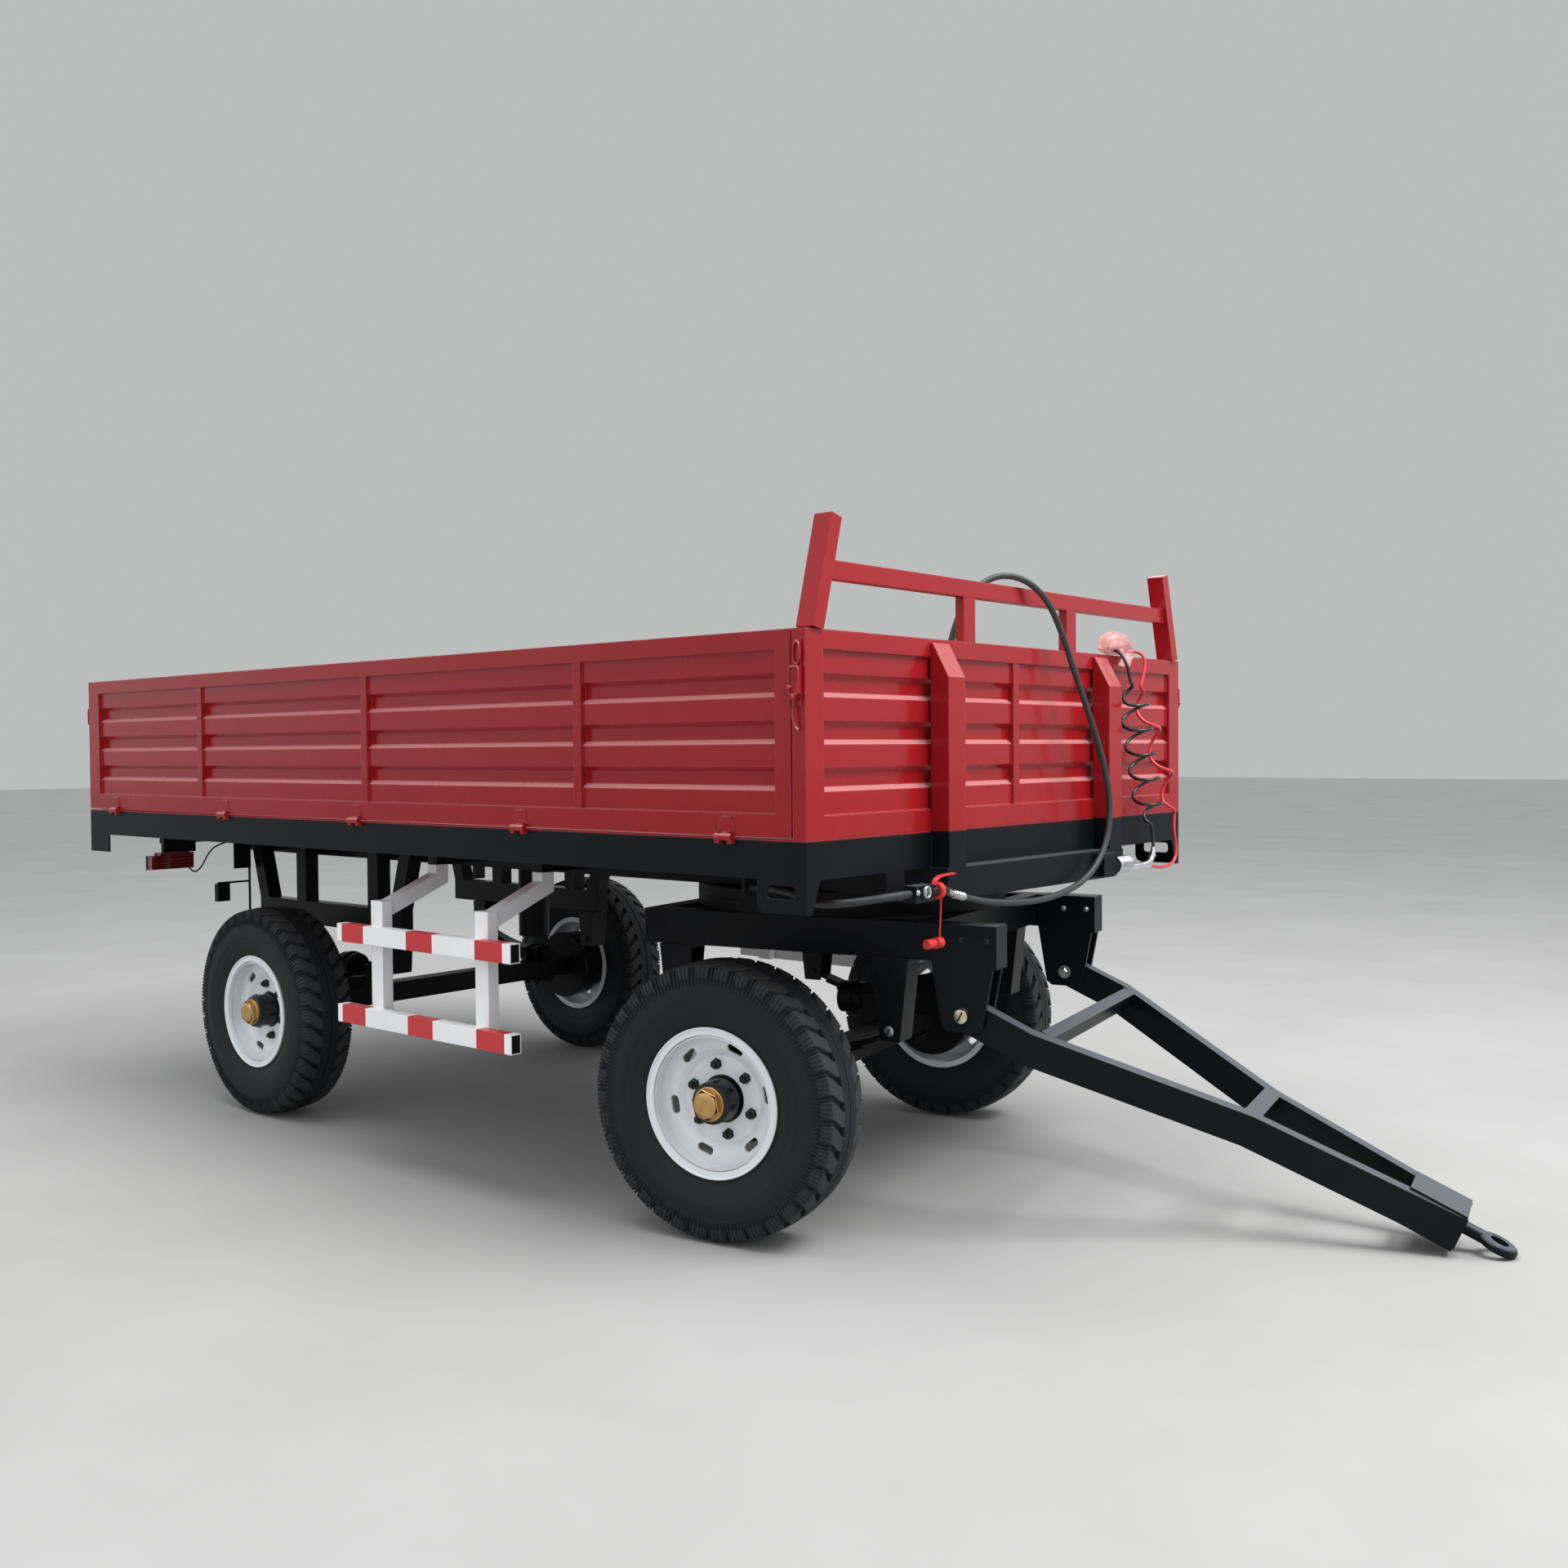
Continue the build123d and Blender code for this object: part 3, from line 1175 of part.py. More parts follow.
add("bogie_frame", turned_bogie(bogie_frame()))
add("turntable_lower_ring", turned_bogie(ring(ring_bottom, ring_middle)))
add("front_axle", turned_bogie(axle(front_axle_x)))
add("front_leaf_springs", *[turned_bogie(leaf_spring(front_axle_x, side * bogie_half_width))
                            for side in sides])
add("drawbar_ears", *[turned_bogie(drawbar_ear(side)) for side in sides])
add("drawbar", turned_bogie(place_drawbar(drawbar())))

for end, x_mid in (("rear", rear_axle_x), ("front", front_axle_x)):
    for side in sides:
        for piece, shape in (("tyre", tyre()), ("rim", rim(side)), ("hub", hub(side))):
            placed = Location((x_mid, side * half_track, axle_z)) * shape
            add(f"{end}_{side_name(side)}_{piece}", turned_bogie(placed) if end == "front" else placed)

add("bed_frame", bed_frame())
add("bed_floor", bed_floor())
add("board_hinges", *board_hinges())
add("right_board", right_board())
add("left_board", mirror(right_board(), Plane.XZ))
add("tailgate", tailgate())
add("front_panel", front_panel())
add("front_uprights", *[front_upright(side) for side in sides])
add("headboard", headboard())
add("front_latches", *[front_latch(side) for side in sides])
for side in sides:
    add(f"{side_name(side)}_rear_latch", rear_latch(side))

add("hydraulic_valve", hydraulic_valve())
add("hose_fitting", hose_fitting())
add("hydraulic_hose", cord_tube(hose_route, hose_radius))
add("hose_plug", hose_plug())
add("supply_line", cord_tube(supply_route, supply_radius))
add("air_couplings", air_couplings())
add("coupling_bag", coupling_bag())
add("air_line_black_coil", cord_tube(black_coil_route, black_coil_radius))
add("air_line_black_tail", cord_tube(black_tail_route, air_line_radius))
add("air_line_red_coil", cord_tube(red_coil_route, red_coil_radius))
add("air_line_red_tail", cord_tube(red_tail_route, air_line_radius))

boxes = [shape.bounding_box() for shapes in nodes.values() for shape in shapes]
origin_x = (min(box.min.X for box in boxes) + max(box.max.X for box in boxes)) / 2
os.makedirs("parts", exist_ok=True)
for name, shapes in nodes.items():
    placed = [Location((-origin_x, 0, 0)) * shape for shape in shapes]
    solids = [solid for shape in placed for solid in shape.solids()]
    whole = solids[0] if len(solids) == 1 else Compound(children=solids)
    export_step(whole, f"parts/{name}.step")
print(len(nodes), "nodes; moved along x by", round(-origin_x, 3))
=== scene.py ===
"""Looks of a four-wheel farm dump trailer: paint, rubber, fittings, hoses and small hardware.

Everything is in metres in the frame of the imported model.  Places are written in millimetres
from the bed's front face, the ground and the middle plane, and turned into that frame by at().
"""

import math

import bmesh
import bpy
from mathutils import Matrix, Vector


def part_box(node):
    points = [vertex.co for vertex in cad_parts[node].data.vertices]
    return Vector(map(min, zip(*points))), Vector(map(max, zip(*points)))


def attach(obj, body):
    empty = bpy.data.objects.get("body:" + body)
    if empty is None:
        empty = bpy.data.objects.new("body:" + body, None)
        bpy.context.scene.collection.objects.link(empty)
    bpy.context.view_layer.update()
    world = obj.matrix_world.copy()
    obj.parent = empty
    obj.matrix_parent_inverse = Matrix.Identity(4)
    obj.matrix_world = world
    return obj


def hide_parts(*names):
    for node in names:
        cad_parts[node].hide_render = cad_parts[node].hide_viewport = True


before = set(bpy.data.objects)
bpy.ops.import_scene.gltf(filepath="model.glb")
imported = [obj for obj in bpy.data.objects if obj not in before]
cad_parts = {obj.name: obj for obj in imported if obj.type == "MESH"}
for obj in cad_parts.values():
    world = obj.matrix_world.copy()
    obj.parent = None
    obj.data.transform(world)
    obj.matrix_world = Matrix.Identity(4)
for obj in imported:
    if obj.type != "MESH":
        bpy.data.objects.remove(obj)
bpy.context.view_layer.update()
scene = bpy.context.scene
bed_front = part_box("front_panel")[1][0]


def at(x, y, z):
    """Point given in millimetres from the bed's front face, in the model's frame."""
    return Vector((bed_front + x / 1000, y / 1000, z / 1000))


def through(*points):
    """Row of points given in millimetres."""
    return [at(*p) for p in points]


# ---- camera and lights ------------------------------------------------------------------------
def add_camera():
    """Camera at a standing person's eye height, off the right front corner."""
    yaw = math.radians(40.395)
    pitch = math.radians(1.338)
    roll = math.radians(-0.438)
    right = Vector((math.cos(yaw), math.sin(yaw), 0))
    level = Vector((-math.sin(yaw), math.cos(yaw), 0))
    look = level * math.cos(pitch) - Vector((0, 0, math.sin(pitch)))
    up = right.cross(look)
    side = right * math.cos(roll) + up * math.sin(roll)
    up = up * math.cos(roll) - right * math.sin(roll)
    data = bpy.data.cameras.new("camera")
    data.lens = 33.81
    data.sensor_width = 36.0
    data.clip_end = 200.0
    camera = bpy.data.objects.new("camera", data)
    turn = Matrix((side, up, -look)).transposed().to_4x4()
    camera.matrix_world = Matrix.Translation(at(2391, -3966, 1419)) @ turn
    scene.collection.objects.link(camera)
    scene.camera = camera


def add_light(name, place, target, size, power):
    """Large soft lamp."""
    data = bpy.data.lights.new(name, "AREA")
    data.shape = "DISK"
    data.size = size
    data.energy = power
    lamp = bpy.data.objects.new(name, data)
    lamp.location = place
    lamp.rotation_euler = (Vector(target) - Vector(place)).to_track_quat("-Z", "Y").to_euler()
    scene.collection.objects.link(lamp)


# ---- shader helpers ---------------------------------------------------------------------------
def node(tree, kind, inputs=None, **settings):
    """Shader or geometry node with its settings, and its inputs set or linked by name or number."""
    made = tree.nodes.new(kind)
    for key, value in settings.items():
        setattr(made, key, value)
    for key, value in (inputs or {}).items():
        socket = made.inputs[key]
        if isinstance(value, bpy.types.NodeSocket):
            tree.links.new(value, socket)
        else:
            socket.default_value = value
    return made


def maths(tree, operation, a, b=0.0, clamp=False):
    """Result of one sum."""
    return node(tree, "ShaderNodeMath", {0: a, 1: b}, operation=operation, use_clamp=clamp).outputs[0]


def blend_colour(tree, factor, a, b):
    """Colour a turned into colour b by a factor."""
    return node(tree, "ShaderNodeMix", {"Factor": factor, 6: a, 7: b}, data_type="RGBA").outputs[2]


def scaled(tree, value, factor, offset, clamp=False):
    """A value times a factor, plus an offset."""
    inputs = {0: value, 1: factor, 2: offset}
    return node(tree, "ShaderNodeMath", inputs, operation="MULTIPLY_ADD", use_clamp=clamp).outputs[0]


def object_place(tree):
    """Coordinates of the object's own frame."""
    return node(tree, "ShaderNodeTexCoord").outputs["Object"]


def split(tree, vector):
    """Parts X, Y and Z of a vector."""
    return node(tree, "ShaderNodeSeparateXYZ", {0: vector}).outputs


def shade(colour, factor=1.0):
    """Colour made lighter or darker, with full alpha."""
    return (*[c * factor for c in colour], 1)


def steps(tree, factor, *stops):
    """Ramp through (position, grey or colour) stops."""
    ramp = node(tree, "ShaderNodeValToRGB", {0: factor})
    while len(ramp.color_ramp.elements) < len(stops):
        ramp.color_ramp.elements.new(1.0)
    for element, (position, value) in zip(ramp.color_ramp.elements, stops):
        element.position = position
        element.color = shade(value if isinstance(value, tuple) else (value,) * 3)
    return ramp.outputs[0]


def noise(tree, vector, scale, detail=4.0, roughness=0.55):
    """Grey noise."""
    inputs = {"Vector": vector, "Scale": scale, "Detail": detail, "Roughness": roughness}
    return node(tree, "ShaderNodeTexNoise", inputs).outputs[0]


def stretched(tree, vector, scale):
    """Coordinates scaled along each axis."""
    return node(tree, "ShaderNodeMapping", {"Vector": vector, "Scale": scale}).outputs[0]


def new_group(name, inputs, outputs):
    """Shader node group with named sockets; returns its tree, its input node and its output node."""
    tree = bpy.data.node_groups.new(name, "ShaderNodeTree")
    for label, kind, value in inputs:
        socket = tree.interface.new_socket(label, in_out="INPUT", socket_type=kind)
        socket.default_value = value
    for label, kind in outputs:
        tree.interface.new_socket(label, in_out="OUTPUT", socket_type=kind)
    return tree, tree.nodes.new("NodeGroupInput"), tree.nodes.new("NodeGroupOutput")


def edge_group():
    """Rounded normal at sharp edges, and a mask of those edges broken up by noise."""
    tree, given, put = new_group(
        "rounded_edges",
        [("Radius", "NodeSocketFloat", 0.002), ("Break Up", "NodeSocketFloat", 0.5)],
        [("Normal", "NodeSocketVector"), ("Edge", "NodeSocketFloat")])
    bevel = node(tree, "ShaderNodeBevel", {"Radius": given.outputs["Radius"]}, samples=4)
    flat = node(tree, "ShaderNodeNewGeometry").outputs["Normal"]
    dot = node(tree, "ShaderNodeVectorMath", {0: bevel.outputs[0], 1: flat}, operation="DOT_PRODUCT")
    sharp = maths(tree, "MULTIPLY", maths(tree, "SUBTRACT", 1.0, dot.outputs["Value"]), 6.0, clamp=True)
    spot = steps(tree, noise(tree, object_place(tree), 60.0, 3.0), (0.45, 0.0), (0.7, 1.0))
    kept = scaled(tree, spot, given.outputs["Break Up"], 0.3)
    tree.links.new(bevel.outputs[0], put.inputs["Normal"])
    tree.links.new(maths(tree, "MULTIPLY", sharp, kept, clamp=True), put.inputs["Edge"])
    return tree


def weather_and_sheen_group():
    """Masks of dust and grime, the height of a sprayed paint film with fine scratches, and a mask of
    up-facing faces for the painted sky sheen.
    """
    tree, given, put = new_group(
        "weather_and_sheen",
        [("Dust", "NodeSocketFloat", 0.3), ("Peel", "NodeSocketFloat", 0.4)],
        [("Dust", "NodeSocketFloat"), ("Patches", "NodeSocketFloat"), ("Height", "NodeSocketFloat"),
         ("Upward", "NodeSocketFloat")])
    here = object_place(tree)
    cloud = noise(tree, here, 3.0, 6.0, 0.6)
    fine = noise(tree, here, 240.0, 2.0)
    up = split(tree, node(tree, "ShaderNodeNewGeometry").outputs["Normal"])["Z"]
    lying = scaled(tree, up, 0.45, 0.16, clamp=True)
    low = steps(tree, maths(tree, "MULTIPLY", split(tree, here)["Z"], 0.6), (0.0, 1.0), (0.75, 0.0))
    dust = maths(tree, "MULTIPLY", maths(tree, "ADD", lying, maths(tree, "MULTIPLY", low, 0.3)),
                 steps(tree, cloud, (0.3, 0.15), (0.75, 1.0)))
    dust = maths(tree, "MULTIPLY", dust, steps(tree, fine, (0.3, 0.6), (0.7, 1.0)))
    dust = maths(tree, "MULTIPLY", dust, given.outputs["Dust"], clamp=True)
    peel = noise(tree, here, 320.0, 1.0)
    scratch = noise(tree, stretched(tree, here, (3.0, 90.0, 40.0)), 9.0, 3.0, 0.7)
    scratch = steps(tree, scratch, (0.62, 0.0), (0.7, 1.0))
    film = maths(tree, "MULTIPLY", peel, given.outputs["Peel"])
    film = maths(tree, "SUBTRACT", film, maths(tree, "MULTIPLY", scratch, 0.03))
    # Mask of faces that look up, which carries the painted sky sheen on top faces.
    tree.links.new(steps(tree, up, (0.35, 0.0), (0.75, 1.0)), put.inputs["Upward"])
    tree.links.new(dust, put.inputs["Dust"])
    tree.links.new(cloud, put.inputs["Patches"])
    tree.links.new(film, put.inputs["Height"])
    return tree


rounded_edges = edge_group()
weather_and_sheen = weather_and_sheen_group()


def new_material(name, **principled):
    """Material whose Principled shader has plain values set on it; returns its tree and shader."""
    material = bpy.data.materials.new(name)
    material.use_nodes = True
    tree = material.node_tree
    shader = tree.nodes["Principled BSDF"]
    for key, value in principled.items():
        shader.inputs[key.replace("_", " ")].default_value = value
    return material, tree, shader


def use_group(tree, group, **inputs):
    """A node group placed in a material with its own values."""
    placed = tree.nodes.new("ShaderNodeGroup")
    placed.node_tree = group
    for key, value in inputs.items():
        placed.inputs[key.replace("_", " ")].default_value = value
    return placed.outputs


def set_bump(tree, shader, height, distance, strength, normal=None):
    """Bump in the shader's normal, over a base normal if one is given."""
    inputs = {"Height": height, "Distance": distance, "Strength": strength}
    if normal is not None:
        inputs["Normal"] = normal
    bump = node(tree, "ShaderNodeBump", inputs)
    tree.links.new(bump.outputs[0], shader.inputs["Normal"])


road_dust = (0.34, 0.31, 0.27)


def painted(name, colour, rough, coat, dust, edge_wear_and_sheen=(0.3, 0.3, 0.3), edge_wear_and_sheen_amount=0.25, radius=0.002,
            peel=0.4, shine=0.3, bands=None, sky_sheen=None):
    """Sprayed paint on steel with colour drift, dust, worn edges with painted edge highlight, and a
    slight orange peel.

    The bands are painted over it, and the sky sheen colour takes over where a face looks up, as a painted
    reflection of the sky.
    """
    material, tree, shader = new_material(name, Coat_Weight=coat, Coat_Roughness=0.08,
                                          Specular_IOR_Level=shine)
    edge = use_group(tree, rounded_edges, Radius=radius)
    dust_and_sheen_masks = use_group(tree, weather_and_sheen, Dust=dust, Peel=peel)
    base = blend_colour(tree, dust_and_sheen_masks["Patches"], shade(colour, 0.88), shade(colour, 1.1))
    if bands:
        base = bands(tree, base)
    # Painted reflection: faces that look up take the pale sky sheen colour.
    if sky_sheen:
        base = blend_colour(tree, dust_and_sheen_masks["Upward"], base, shade(sky_sheen))
    # Edges take the edge colour: darker as worn paint, lighter as a painted edge highlight.
    edge_wear_and_sheen_mask = maths(tree, "MULTIPLY", edge["Edge"], edge_wear_and_sheen_amount)
    base = blend_colour(tree, edge_wear_and_sheen_mask, base, shade(edge_wear_and_sheen))
    base = blend_colour(tree, dust_and_sheen_masks["Dust"], base, shade(road_dust))
    tree.links.new(base, shader.inputs["Base Color"])
    gloss = scaled(tree, dust_and_sheen_masks["Patches"], 0.12, rough - 0.06)
    gloss = maths(tree, "ADD", gloss, maths(tree, "MULTIPLY", dust_and_sheen_masks["Dust"], 0.5), clamp=True)
    tree.links.new(gloss, shader.inputs["Roughness"])
    set_bump(tree, shader, dust_and_sheen_masks["Height"], 0.0004, 0.5, edge["Normal"])
    return material


def plated(name, colour, rough, tint=None):
    """Plated or polished metal with uneven sheen."""
    material, tree, shader = new_material(name, Metallic=1.0)
    edge = use_group(tree, rounded_edges, Radius=0.001)
    here = object_place(tree)
    patch = noise(tree, here, 38.0, 5.0)
    other = shade(tint) if tint else shade(colour, 0.7)
    base = blend_colour(tree, steps(tree, patch, (0.35, 0.0), (0.7, 1.0)), shade(colour), other)
    tree.links.new(base, shader.inputs["Base Color"])
    tree.links.new(scaled(tree, patch, 0.25, rough - 0.1), shader.inputs["Roughness"])
    set_bump(tree, shader, noise(tree, here, 420.0, 2.0), 0.0002, 0.3, edge["Normal"])
    return material


top_rail_bands = ((-2102, -1973), (-1727, -1585), (-1363, -1226))
bottom_rail_bands = ((-2103, -1965), (-1722, -1586), (-1359, -1220))
between_rails_z = 0.653
rails_inner_y = 1.0312
band_red = (0.56, 0.026, 0.03)


def guard_bands(tree, base):
    """Red bands painted over the white guard rails, placed along each rail."""
    place = split(tree, object_place(tree))
    upper = maths(tree, "GREATER_THAN", place["Z"], between_rails_z)
    masks = []
    for bands in (top_rail_bands, bottom_rail_bands):
        mask = 0.0
        for first, last in bands:
            inside = maths(tree, "MULTIPLY",
                           maths(tree, "GREATER_THAN", place["X"], at(first, 0, 0).x),
                           maths(tree, "LESS_THAN", place["X"], at(last, 0, 0).x))
            mask = maths(tree, "ADD", mask, inside)
        masks.append(mask)
    above = maths(tree, "MULTIPLY", masks[0], upper)
    below = maths(tree, "MULTIPLY", masks[1], maths(tree, "SUBTRACT", 1.0, upper))
    rail = maths(tree, "GREATER_THAN", maths(tree, "ABSOLUTE", place["Y"]), rails_inner_y)
    mask = maths(tree, "MULTIPLY", maths(tree, "ADD", above, below), rail)
    return blend_colour(tree, mask, base, shade(band_red))


# In these paints, an edge colour lighter than the paint is a painted edge highlight, and a darker one is
# worn paint.
bed_red = (0.30, 0.0075, 0.0115)
# Pale pink laid on the red's up-facing faces: a painted reflection of the sky.
red_sky_sheen = (0.50, 0.19, 0.19)
red_paint = painted("red_paint", bed_red, rough=0.27, coat=0.22, dust=0.03, edge_wear_and_sheen=(0.62, 0.15, 0.15),
                    edge_wear_and_sheen_amount=0.55, radius=0.006, peel=0.3, shine=0.22, sky_sheen=red_sky_sheen)
floor_red = painted("floor_red", bed_red, rough=0.4, coat=0.1, dust=0.2, shine=0.2)
fitting_red = painted("fitting_red", (0.34, 0.009, 0.013), rough=0.3, coat=0.2, dust=0.03,
                      edge_wear_and_sheen=(0.62, 0.2, 0.2), edge_wear_and_sheen_amount=0.9, radius=0.0012, sky_sheen=red_sky_sheen)
# Black paint: its grey-blue up-facing colour is a painted reflection of the sky, and its lighter edges a
# painted edge highlight.
black_paint = painted("black_paint", (0.0038, 0.0048, 0.0068), rough=0.38, coat=0.03, dust=0.035,
                      edge_wear_and_sheen=(0.075, 0.08, 0.09), edge_wear_and_sheen_amount=0.35, radius=0.004, shine=0.11,
                      sky_sheen=(0.062, 0.068, 0.078))
dark_parts = painted("running_gear_black", (0.003, 0.0036, 0.005), rough=0.5, coat=0.0, dust=0.06,
                     edge_wear_and_sheen=(0.04, 0.04, 0.04), edge_wear_and_sheen_amount=0.3, radius=0.0015, shine=0.12)
guard_paint = painted("guard_paint", (0.90, 0.91, 0.925), rough=0.35, coat=0.2, dust=0.03,
                      edge_wear_and_sheen=(0.7, 0.7, 0.7), edge_wear_and_sheen_amount=0.1, radius=0.003, bands=guard_bands)
wheel_silver = painted("wheel_silver", (0.80, 0.825, 0.86), rough=0.3, coat=0.3, dust=0.05,
                       edge_wear_and_sheen=(0.6, 0.6, 0.62), edge_wear_and_sheen_amount=0.15, radius=0.003, shine=0.5)
hub_black = painted("hub_black", (0.003, 0.0035, 0.0045), rough=0.3, coat=0.15, dust=0.02,
                    edge_wear_and_sheen=(0.06, 0.06, 0.06))
valve_red = painted("valve_red", (0.55, 0.018, 0.02), rough=0.35, coat=0.2, dust=0.03,
                    edge_wear_and_sheen=(0.7, 0.3, 0.3), radius=0.001)
yellow_zinc = plated("yellow_zinc", (0.62, 0.40, 0.16), 0.3, tint=(0.5, 0.27, 0.1))
zinc_plate = plated("zinc_plate", (0.62, 0.63, 0.62), 0.35)
chrome = plated("chrome", (0.75, 0.76, 0.78), 0.16)
pale_zinc = plated("pale_zinc", (0.78, 0.70, 0.50), 0.3)


def rubber(name, colour, dust):
    """Moulded rubber, dusty in places."""
    material, tree, shader = new_material(name, Specular_IOR_Level=0.22)
    dust_and_sheen_masks = use_group(tree, weather_and_sheen, Dust=dust, Peel=0.3)
    base = blend_colour(tree, dust_and_sheen_masks["Patches"], shade(colour, 0.85), shade(colour, 1.2))
    base = blend_colour(tree, dust_and_sheen_masks["Dust"], base, (0.20, 0.185, 0.165, 1))
    tree.links.new(base, shader.inputs["Base Color"])
    tree.links.new(scaled(tree, dust_and_sheen_masks["Patches"], 0.2, 0.52), shader.inputs["Roughness"])
    set_bump(tree, shader, noise(tree, object_place(tree), 260.0, 3.0), 0.0004, 0.35)
    return material


tyre_rubber = rubber("tyre_rubber", (0.0105, 0.0128, 0.0158), dust=0.06)
tread_rubber = rubber("tread_rubber", (0.030, 0.032, 0.034), dust=0.1)


def cord_skin(name, colour, rough, pitch=0.0, depth=0.0003):
    """Skin of a hose or air line; a wrapped one has the spiral print of its cloth along the cord."""
    material, tree, shader = new_material(name, Specular_IOR_Level=0.45)
    here = node(tree, "ShaderNodeTexCoord").outputs
    patch = noise(tree, here["Object"], 30.0, 4.0)
    tree.links.new(blend_colour(tree, patch, shade(colour, 0.8), shade(colour, 1.25)),
                   shader.inputs["Base Color"])
    tree.links.new(scaled(tree, patch, 0.2, rough - 0.1), shader.inputs["Roughness"])
    if pitch:
        spot = split(tree, here["UV"])
        along = maths(tree, "MULTIPLY", spot["X"], pitch)
        turns = [maths(tree, way, along, spot["Y"]) for way in ("ADD", "SUBTRACT")]
        waves = [maths(tree, "SINE", maths(tree, "MULTIPLY", turn, math.tau * 6)) for turn in turns]
        height = maths(tree, "MAXIMUM", *waves)
    else:
        height = noise(tree, here["Object"], 500.0, 2.0)
    set_bump(tree, shader, height, depth, 0.5)
    return material


hose_black = cord_skin("hose_black", (0.028, 0.03, 0.032), 0.42, pitch=60.0, depth=0.0006)
line_black = cord_skin("air_line_black", (0.012, 0.012, 0.013), 0.25)
line_red = cord_skin("air_line_red", (0.55, 0.035, 0.04), 0.3)

finishes = (
    (black_paint, "chassis_frame rear_right_drop_frame rear_left_drop_frame outriggers bogie_frame "
                  "drawbar_ears drawbar bed_frame"),
    (dark_parts, "turntable_upper_ring turntable_lower_ring rear_axle rear_leaf_springs front_axle "
                 "front_leaf_springs cylinder_barrel"),
    (guard_paint, "right_side_guard left_side_guard"),
    (floor_red, "bed_floor"),
    (fitting_red, "board_hinges"),
    (red_paint, "tail_lamps right_board left_board tailgate front_panel front_uprights headboard "
                "front_latches right_rear_latch left_rear_latch hydraulic_valve coupling_bag"),
    (zinc_plate, "hose_fitting hose_plug"),
    (chrome, "air_couplings cylinder_stage_1 cylinder_stage_2 cylinder_stage_3 cylinder_stage_4"),
    (tyre_rubber, "front_right_tyre front_left_tyre rear_right_tyre rear_left_tyre"),
    (wheel_silver, "front_right_rim front_left_rim rear_right_rim rear_left_rim"),
    (hub_black, "front_right_hub front_left_hub rear_right_hub rear_left_hub"),
)
for material, names in finishes:
    for name in names.split():
        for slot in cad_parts[name].material_slots:
            slot.material = material


# ---- cords ------------------------------------------------------------------------------------
def spline_curve(name, points, radius=0.0):
    """Smooth NURBS curve with these control points."""
    data = bpy.data.curves.new(name, "CURVE")
    data.dimensions = "3D"
    data.resolution_u = 8
    data.bevel_depth = radius
    data.bevel_resolution = 5
    data.use_fill_caps = True
    line = data.splines.new("NURBS")
    line.points.add(len(points) - 1)
    for control, point in zip(line.points, points):
        control.co = (*point, 1)
    line.order_u = 3
    line.use_endpoint_u = True
    obj = bpy.data.objects.new(name, data)
    scene.collection.objects.link(obj)
    return obj


def spline_line(points):
    """Points along a route's smooth curve."""
    probe = spline_curve("probe", points)
    bpy.context.view_layer.update()
    mesh = bpy.data.meshes.new_from_object(probe)
    line = [v.co.copy() for v in mesh.vertices]
    bpy.data.objects.remove(probe)
    bpy.data.meshes.remove(mesh)
    return line


def line_length(line):
    """Length of a row of points."""
    return sum((b - a).length for a, b in zip(line, line[1:]))


def cord(name, route, radius, material, nodes, body="bed", **facts):
    """Cord along a route, riding on a body in place of its CAD nodes, if it has any."""
    obj = spline_curve(name, route, radius)
    obj.data.materials.append(material)
    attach(obj, body)
    if nodes:
        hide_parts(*nodes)
    line_length(spline_line(route))


points_per_turn = 12


def coiled(route, radius, turns, sag):
    """Control points of a stretched coil wound about a route, each turn leaning towards the front."""
    line = spline_line(route)
    total = line_length(line)
    marks = [0.0]
    for a, b in zip(line, line[1:]):
        marks.append(marks[-1] + (b - a).length)
    heading = math.radians(40)
    toward = Vector((math.cos(heading), math.sin(heading), 0))
    away = Vector((-toward.y, toward.x, 0))
    points = []
    count = round(turns * points_per_turn)
    for k in range(count + 1):
        share = k / count
        here = share * total
        j = min(max(i for i, mark in enumerate(marks) if mark <= here), len(line) - 2)
        part = (here - marks[j]) / (marks[j + 1] - marks[j])
        spot = line[j].lerp(line[j + 1], part)
        turn = math.tau * turns * share
        swell = radius * min(1.0, share * 8, (1 - share) * 8)
        offset = toward * math.cos(turn) + away * math.sin(turn)
        lift = sag * (math.sin(turn) + math.cos(turn)) * swell / radius
        points.append(spot + offset * swell + Vector((0, 0, lift)))
    return points


hose_route = through(
    (78, -466, 998), (82, -375, 976), (87, -215, 960), (91, -20, 955), (97, 185, 988), (101, 320, 1078),
    (101, 366, 1215), (96, 335, 1350), (86, 268, 1495), (70, 195, 1640), (54, 138, 1775), (38, 70, 1885),
    (8, -30, 1946), (-40, -135, 1944), (-85, -215, 1860), (-106, -262, 1725), (-112, -285, 1580),
    (-108, -300, 1440), (-104, -318, 1310), (-112, -375, 1214), (-128, -500, 1196), (-150, -640, 1197))
supply_route = through(
    (78, -727.3, 1026), (78, -800, 1026), (52, -866, 1020), (-4, -908, 1011), (-74, -912, 1004),
    (-150, -878, 1002), (-218, -828, 1006), (-292, -786, 1012), (-376, -758, 1017),
    (-469.7, -755, 1018))
black_coil_route = through((79, 549, 1632), (72, 596, 1510), (67, 655, 1365), (66, 719, 1150))
black_tail_route = through((66, 719, 1150), (70, 728, 1104), (76, 712, 1061))
red_coil_route = through((60, 650, 1625), (62, 706, 1510), (65, 800, 1360), (68, 895, 1185))
red_tail_route = through(
    (68, 895, 1185), (71, 880, 1130), (75, 893, 1070), (78, 884, 1030), (78, 850, 1006), (76, 790, 1000),
    (73, 735, 1004), (70, 690, 1014))
air_line_radius = 0.0056
black_lead = through(
    (-18, 560, 1752), (20, 556, 1748), (52, 548, 1722), (70, 545, 1680), (74, 550, 1645))
red_lead = through(
    (-12, 640, 1746), (18, 668, 1749), (44, 690, 1742), (60, 692, 1712), (62, 668, 1655))

